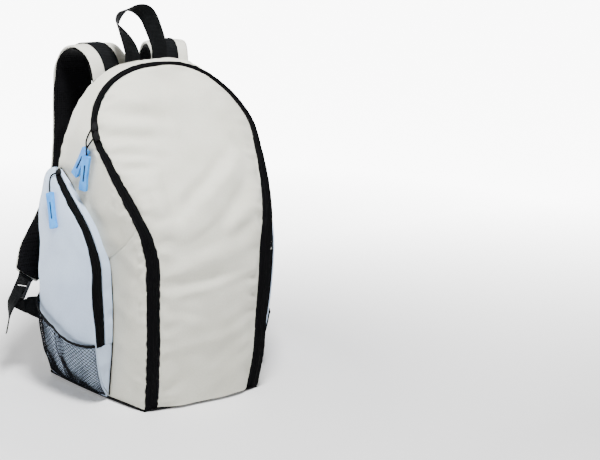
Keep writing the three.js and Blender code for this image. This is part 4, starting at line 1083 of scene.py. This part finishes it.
def make_straps():
    for side in SIDES:
        pad = softened(f"strap_cover_{side}", f"strap_pad_{side}", 2, crease=0.25)
        moved(pad, lambda places: soft_noise(places, 40, 100) * 0.5 - 0.1)
        dressed(pad, IVORY_STRAP, "ivory_strap", f"strap_pad_{side}")
        inner = softened(f"strap_padding_{side}", f"strap_lining_{side}", 2, crease=0.25)
        moved(inner, lambda places: soft_noise(places, 34, 104) * 0.4 - 0.1)
        dressed(inner, AIR_MESH, "black_air_mesh", f"strap_lining_{side}")
        bands = (
            ("strap_stripe", "strap_webbing"),
            ("strap_end_tab", "strap_tab"),
            ("strap_adjuster", "adjuster_webbing"),
        )
        for name, node in bands:
            band = softened(f"{name}_{side}", f"{node}_{side}", 2, crease=0.85)
            dressed(band, WEBBING, "black_webbing", f"{node}_{side}")
        wing = softened(f"strap_anchor_{side}", f"anchor_wing_{side}", 3, crease=0.9)
        moved(wing, lambda places: soft_noise(places, 22, 108) * 0.3)
        dressed(wing, WEBBING, "black_webbing", f"anchor_wing_{side}")
        lock = bevelled(f"strap_buckle_{side}", f"ladder_lock_{side}", 0.7)
        dressed(lock, BUCKLE, "black_buckle", f"ladder_lock_{side}")


def bevelled(name, node, width):
    """A copy of a hard solid with its edges rounded."""
    piece = softened(name, node, 0)
    apply(
        piece, "BEVEL", width=width * MM, segments=3,
        limit_method="ANGLE", angle_limit=math.radians(35),
    )
    smooth(piece, 40)
    return piece


def make_haul_loop():
    loop = softened("carry_loop", "haul_loop", 2, crease=0.85)
    dressed(loop, WEBBING, "black_webbing", "haul_loop")


def slot_corners(node):
    """The corners of a pull's slot, found as those nearest its long middle line."""
    places = np.array([vertex.co[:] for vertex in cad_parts[node].data.vertices]) / MM
    places = np.unique(places.round(3), axis=0)
    axes = np.linalg.svd(places - places.mean(0))[2]
    centre = places.mean(0) + axes[0] * ((places - places.mean(0)) @ axes[0]).mean()
    wide = (places - centre) @ axes[1]
    near = places[np.abs(wide - np.median(wide)) < 2]
    return near, axes


def make_pull(node):
    """A moulded pull with rounded edges and a dark inlay in its slot."""
    pull = bevelled(f"{node}_tag", node, 1.1)
    dressed(pull, PULL_BLUE, "blue_pull", node)
    corners, axes = slot_corners(node)
    middle = corners.mean(0)
    shape = bmesh.new()
    for corner in corners:
        flat = corner - middle
        thin = flat - axes[2] * (flat @ axes[2]) * 0.35
        shape.verts.new((middle + thin * 1.02) * MM)
    bmesh.ops.convex_hull(shape, input=shape.verts)
    inlay = shaped(f"{node}_inlay", shape)
    apply(inlay, "BEVEL", width=0.3 * MM, segments=2)
    smooth(inlay, 40)
    dressed(inlay, PULL_DARK, "blue_pull")


def make_pulls():
    for label in ("main_upper", "main_lower", "pocket_left", "pocket_right"):
        slider = bevelled(f"{label}_zip_slider", f"{label}_slider", 0.8)
        dressed(slider, SLIDER_DARK, "dark_slider", f"{label}_slider")
        link = softened(f"{label}_pull_cord", f"{label}_link", 2, 60)
        dressed(link, CORD, "black_cord", f"{label}_link")
        make_pull(f"{label}_pull")


def make_base_and_piping():
    base = bevelled("base_board", "base_panel", 1.2)
    dressed(base, BASE_CLOTH, "black_base_cloth", "base_panel")
    rim = softened("base_rim_piping", "base_piping", 2, 80)
    dressed(rim, PIPING, "black_piping", "base_piping")
    for side in SIDES:
        cord = softened(f"pocket_seam_piping_{side}", f"pocket_piping_{side}", 2, 80)
        dressed(cord, PIPING, "black_piping", f"pocket_piping_{side}")


def make_linings():
    inside = ("flap_lining", "wall_lining", "back_lining", "floor_lining")
    for node in inside:
        piece = softened(f"{node}_sheet", node, 2)
        moved(piece, lambda places: soft_noise(places, 70, 120) * 0.4)
        dressed(piece, LINING, "white_lining", node)
    shelf = bevelled("bottle_shelf_board", "bottle_shelf", 0.8)
    dressed(shelf, LINING, "white_lining", "bottle_shelf")
    pocket = softened("inner_net_pocket", "inner_pocket", 3, crease=0.95)
    dressed(pocket, LINING_NET, "white_net", "inner_pocket")


def make_stitching():
    """A row of stitches near each edge of the main zip's tapes."""
    places = zip_line.even_places(0.3, 2 * TOP_ROW - 0.3, 600)
    middle, inward, outward, half, _ = zip_frame(places)
    for name, toward in (("main_zip_stitches", -1), ("main_zip_flap_stitches", 1)):
        line = middle + inward * toward * (half - STITCH_INSET) + outward * 0.25
        stitch_row(name, line, outward, BLACK_THREAD, "black_zip")


# Studio


def add_camera():
    turn, rise, roll = (math.radians(angle) for angle in (CAMERA_TURN, CAMERA_RISE, CAMERA_ROLL))
    back = Vector((math.sin(turn) * math.cos(rise), -math.cos(turn) * math.cos(rise), math.sin(rise)))
    right = Vector((math.cos(turn), math.sin(turn), 0))
    up = back.cross(right)
    across = right * math.cos(roll) + up * math.sin(roll)
    upward = up * math.cos(roll) - right * math.sin(roll)
    camera = bpy.data.objects.new("camera", bpy.data.cameras.new("camera"))
    bpy.context.scene.collection.objects.link(camera)
    place = (Vector(CAMERA_AIM) + back * CAMERA_DISTANCE) * MM
    axes = zip(across, upward, back, place)
    camera.matrix_world = Matrix([*axes, (0, 0, 0, 1)])
    camera.data.sensor_width = 36
    camera.data.lens = CAMERA_LENS
    camera.data.shift_x, camera.data.shift_y = CAMERA_SHIFT
    bpy.context.scene.camera = camera


def add_light(name, place, size, energy):
    light = bpy.data.lights.new(name, "AREA")
    light.size = size
    light.energy = energy
    lamp = bpy.data.objects.new(name, light)
    bpy.context.scene.collection.objects.link(lamp)
    lamp.location = place
    aim = Vector((0, 0, 0.22)) - Vector(place)
    lamp.rotation_euler = aim.to_track_quat("-Z", "Y").to_euler()


def add_studio():
    """A pale floor that glows away from the bag, a key light above, and two soft fills."""
    bpy.ops.object.select_all(action="DESELECT")
    bpy.ops.mesh.primitive_plane_add(size=40, location=(0, 0, 0))
    floor = bpy.context.object
    floor.name = "studio_floor"
    material, tree, shader, place = new_finish("studio_floor_paint", 0.55)
    grain = stretch(tree, noise(tree, place, 400, 2), 0.3, 0.7, 0, 1)
    paint(tree, shader, blend(tree, grain, (0.86, 0.86, 0.865), (0.88, 0.88, 0.885)))
    shader.inputs["Emission Color"].default_value = (1, 1, 1, 1)
    distance = tree.nodes.new("ShaderNodeVectorMath")
    distance.operation = "LENGTH"
    tree.links.new(place, distance.inputs[0])
    parts = tree.nodes.new("ShaderNodeSeparateXYZ")
    tree.links.new(place, parts.inputs[0])
    behind = stretch(tree, parts.outputs[1], -0.4, 0.5, 1.2, 9)
    away = stretch(tree, distance.outputs["Value"], 0.3, 1.4, 0.05, 1)
    tree.links.new(maths(tree, "MULTIPLY", behind, away), shader.inputs["Emission Strength"])
    floor.data.materials.append(material)
    add_light("key_light", (-0.2, -0.5, 1.6), 0.35, 56)
    add_light("left_light", (-1.8, -0.3, 0.9), 0.7, 6)
    add_light("top_light", (0.1, 0.9, 1.9), 1.0, 14)
    world = bpy.data.worlds.new("studio")
    world.use_nodes = True
    world.node_tree.nodes["Background"].inputs[0].default_value = (1, 1, 1, 1)
    world.node_tree.nodes["Background"].inputs[1].default_value = 0.05
    bpy.context.scene.world = world


add_camera()
add_studio()
make_flap()
make_gussets()
make_main_zip()
for pocket_side in SIDES:
    make_pocket(pocket_side)
    make_net(pocket_side)
make_back_panel()
make_straps()
make_haul_loop()
make_pulls()
make_base_and_piping()
make_linings()
make_stitching()
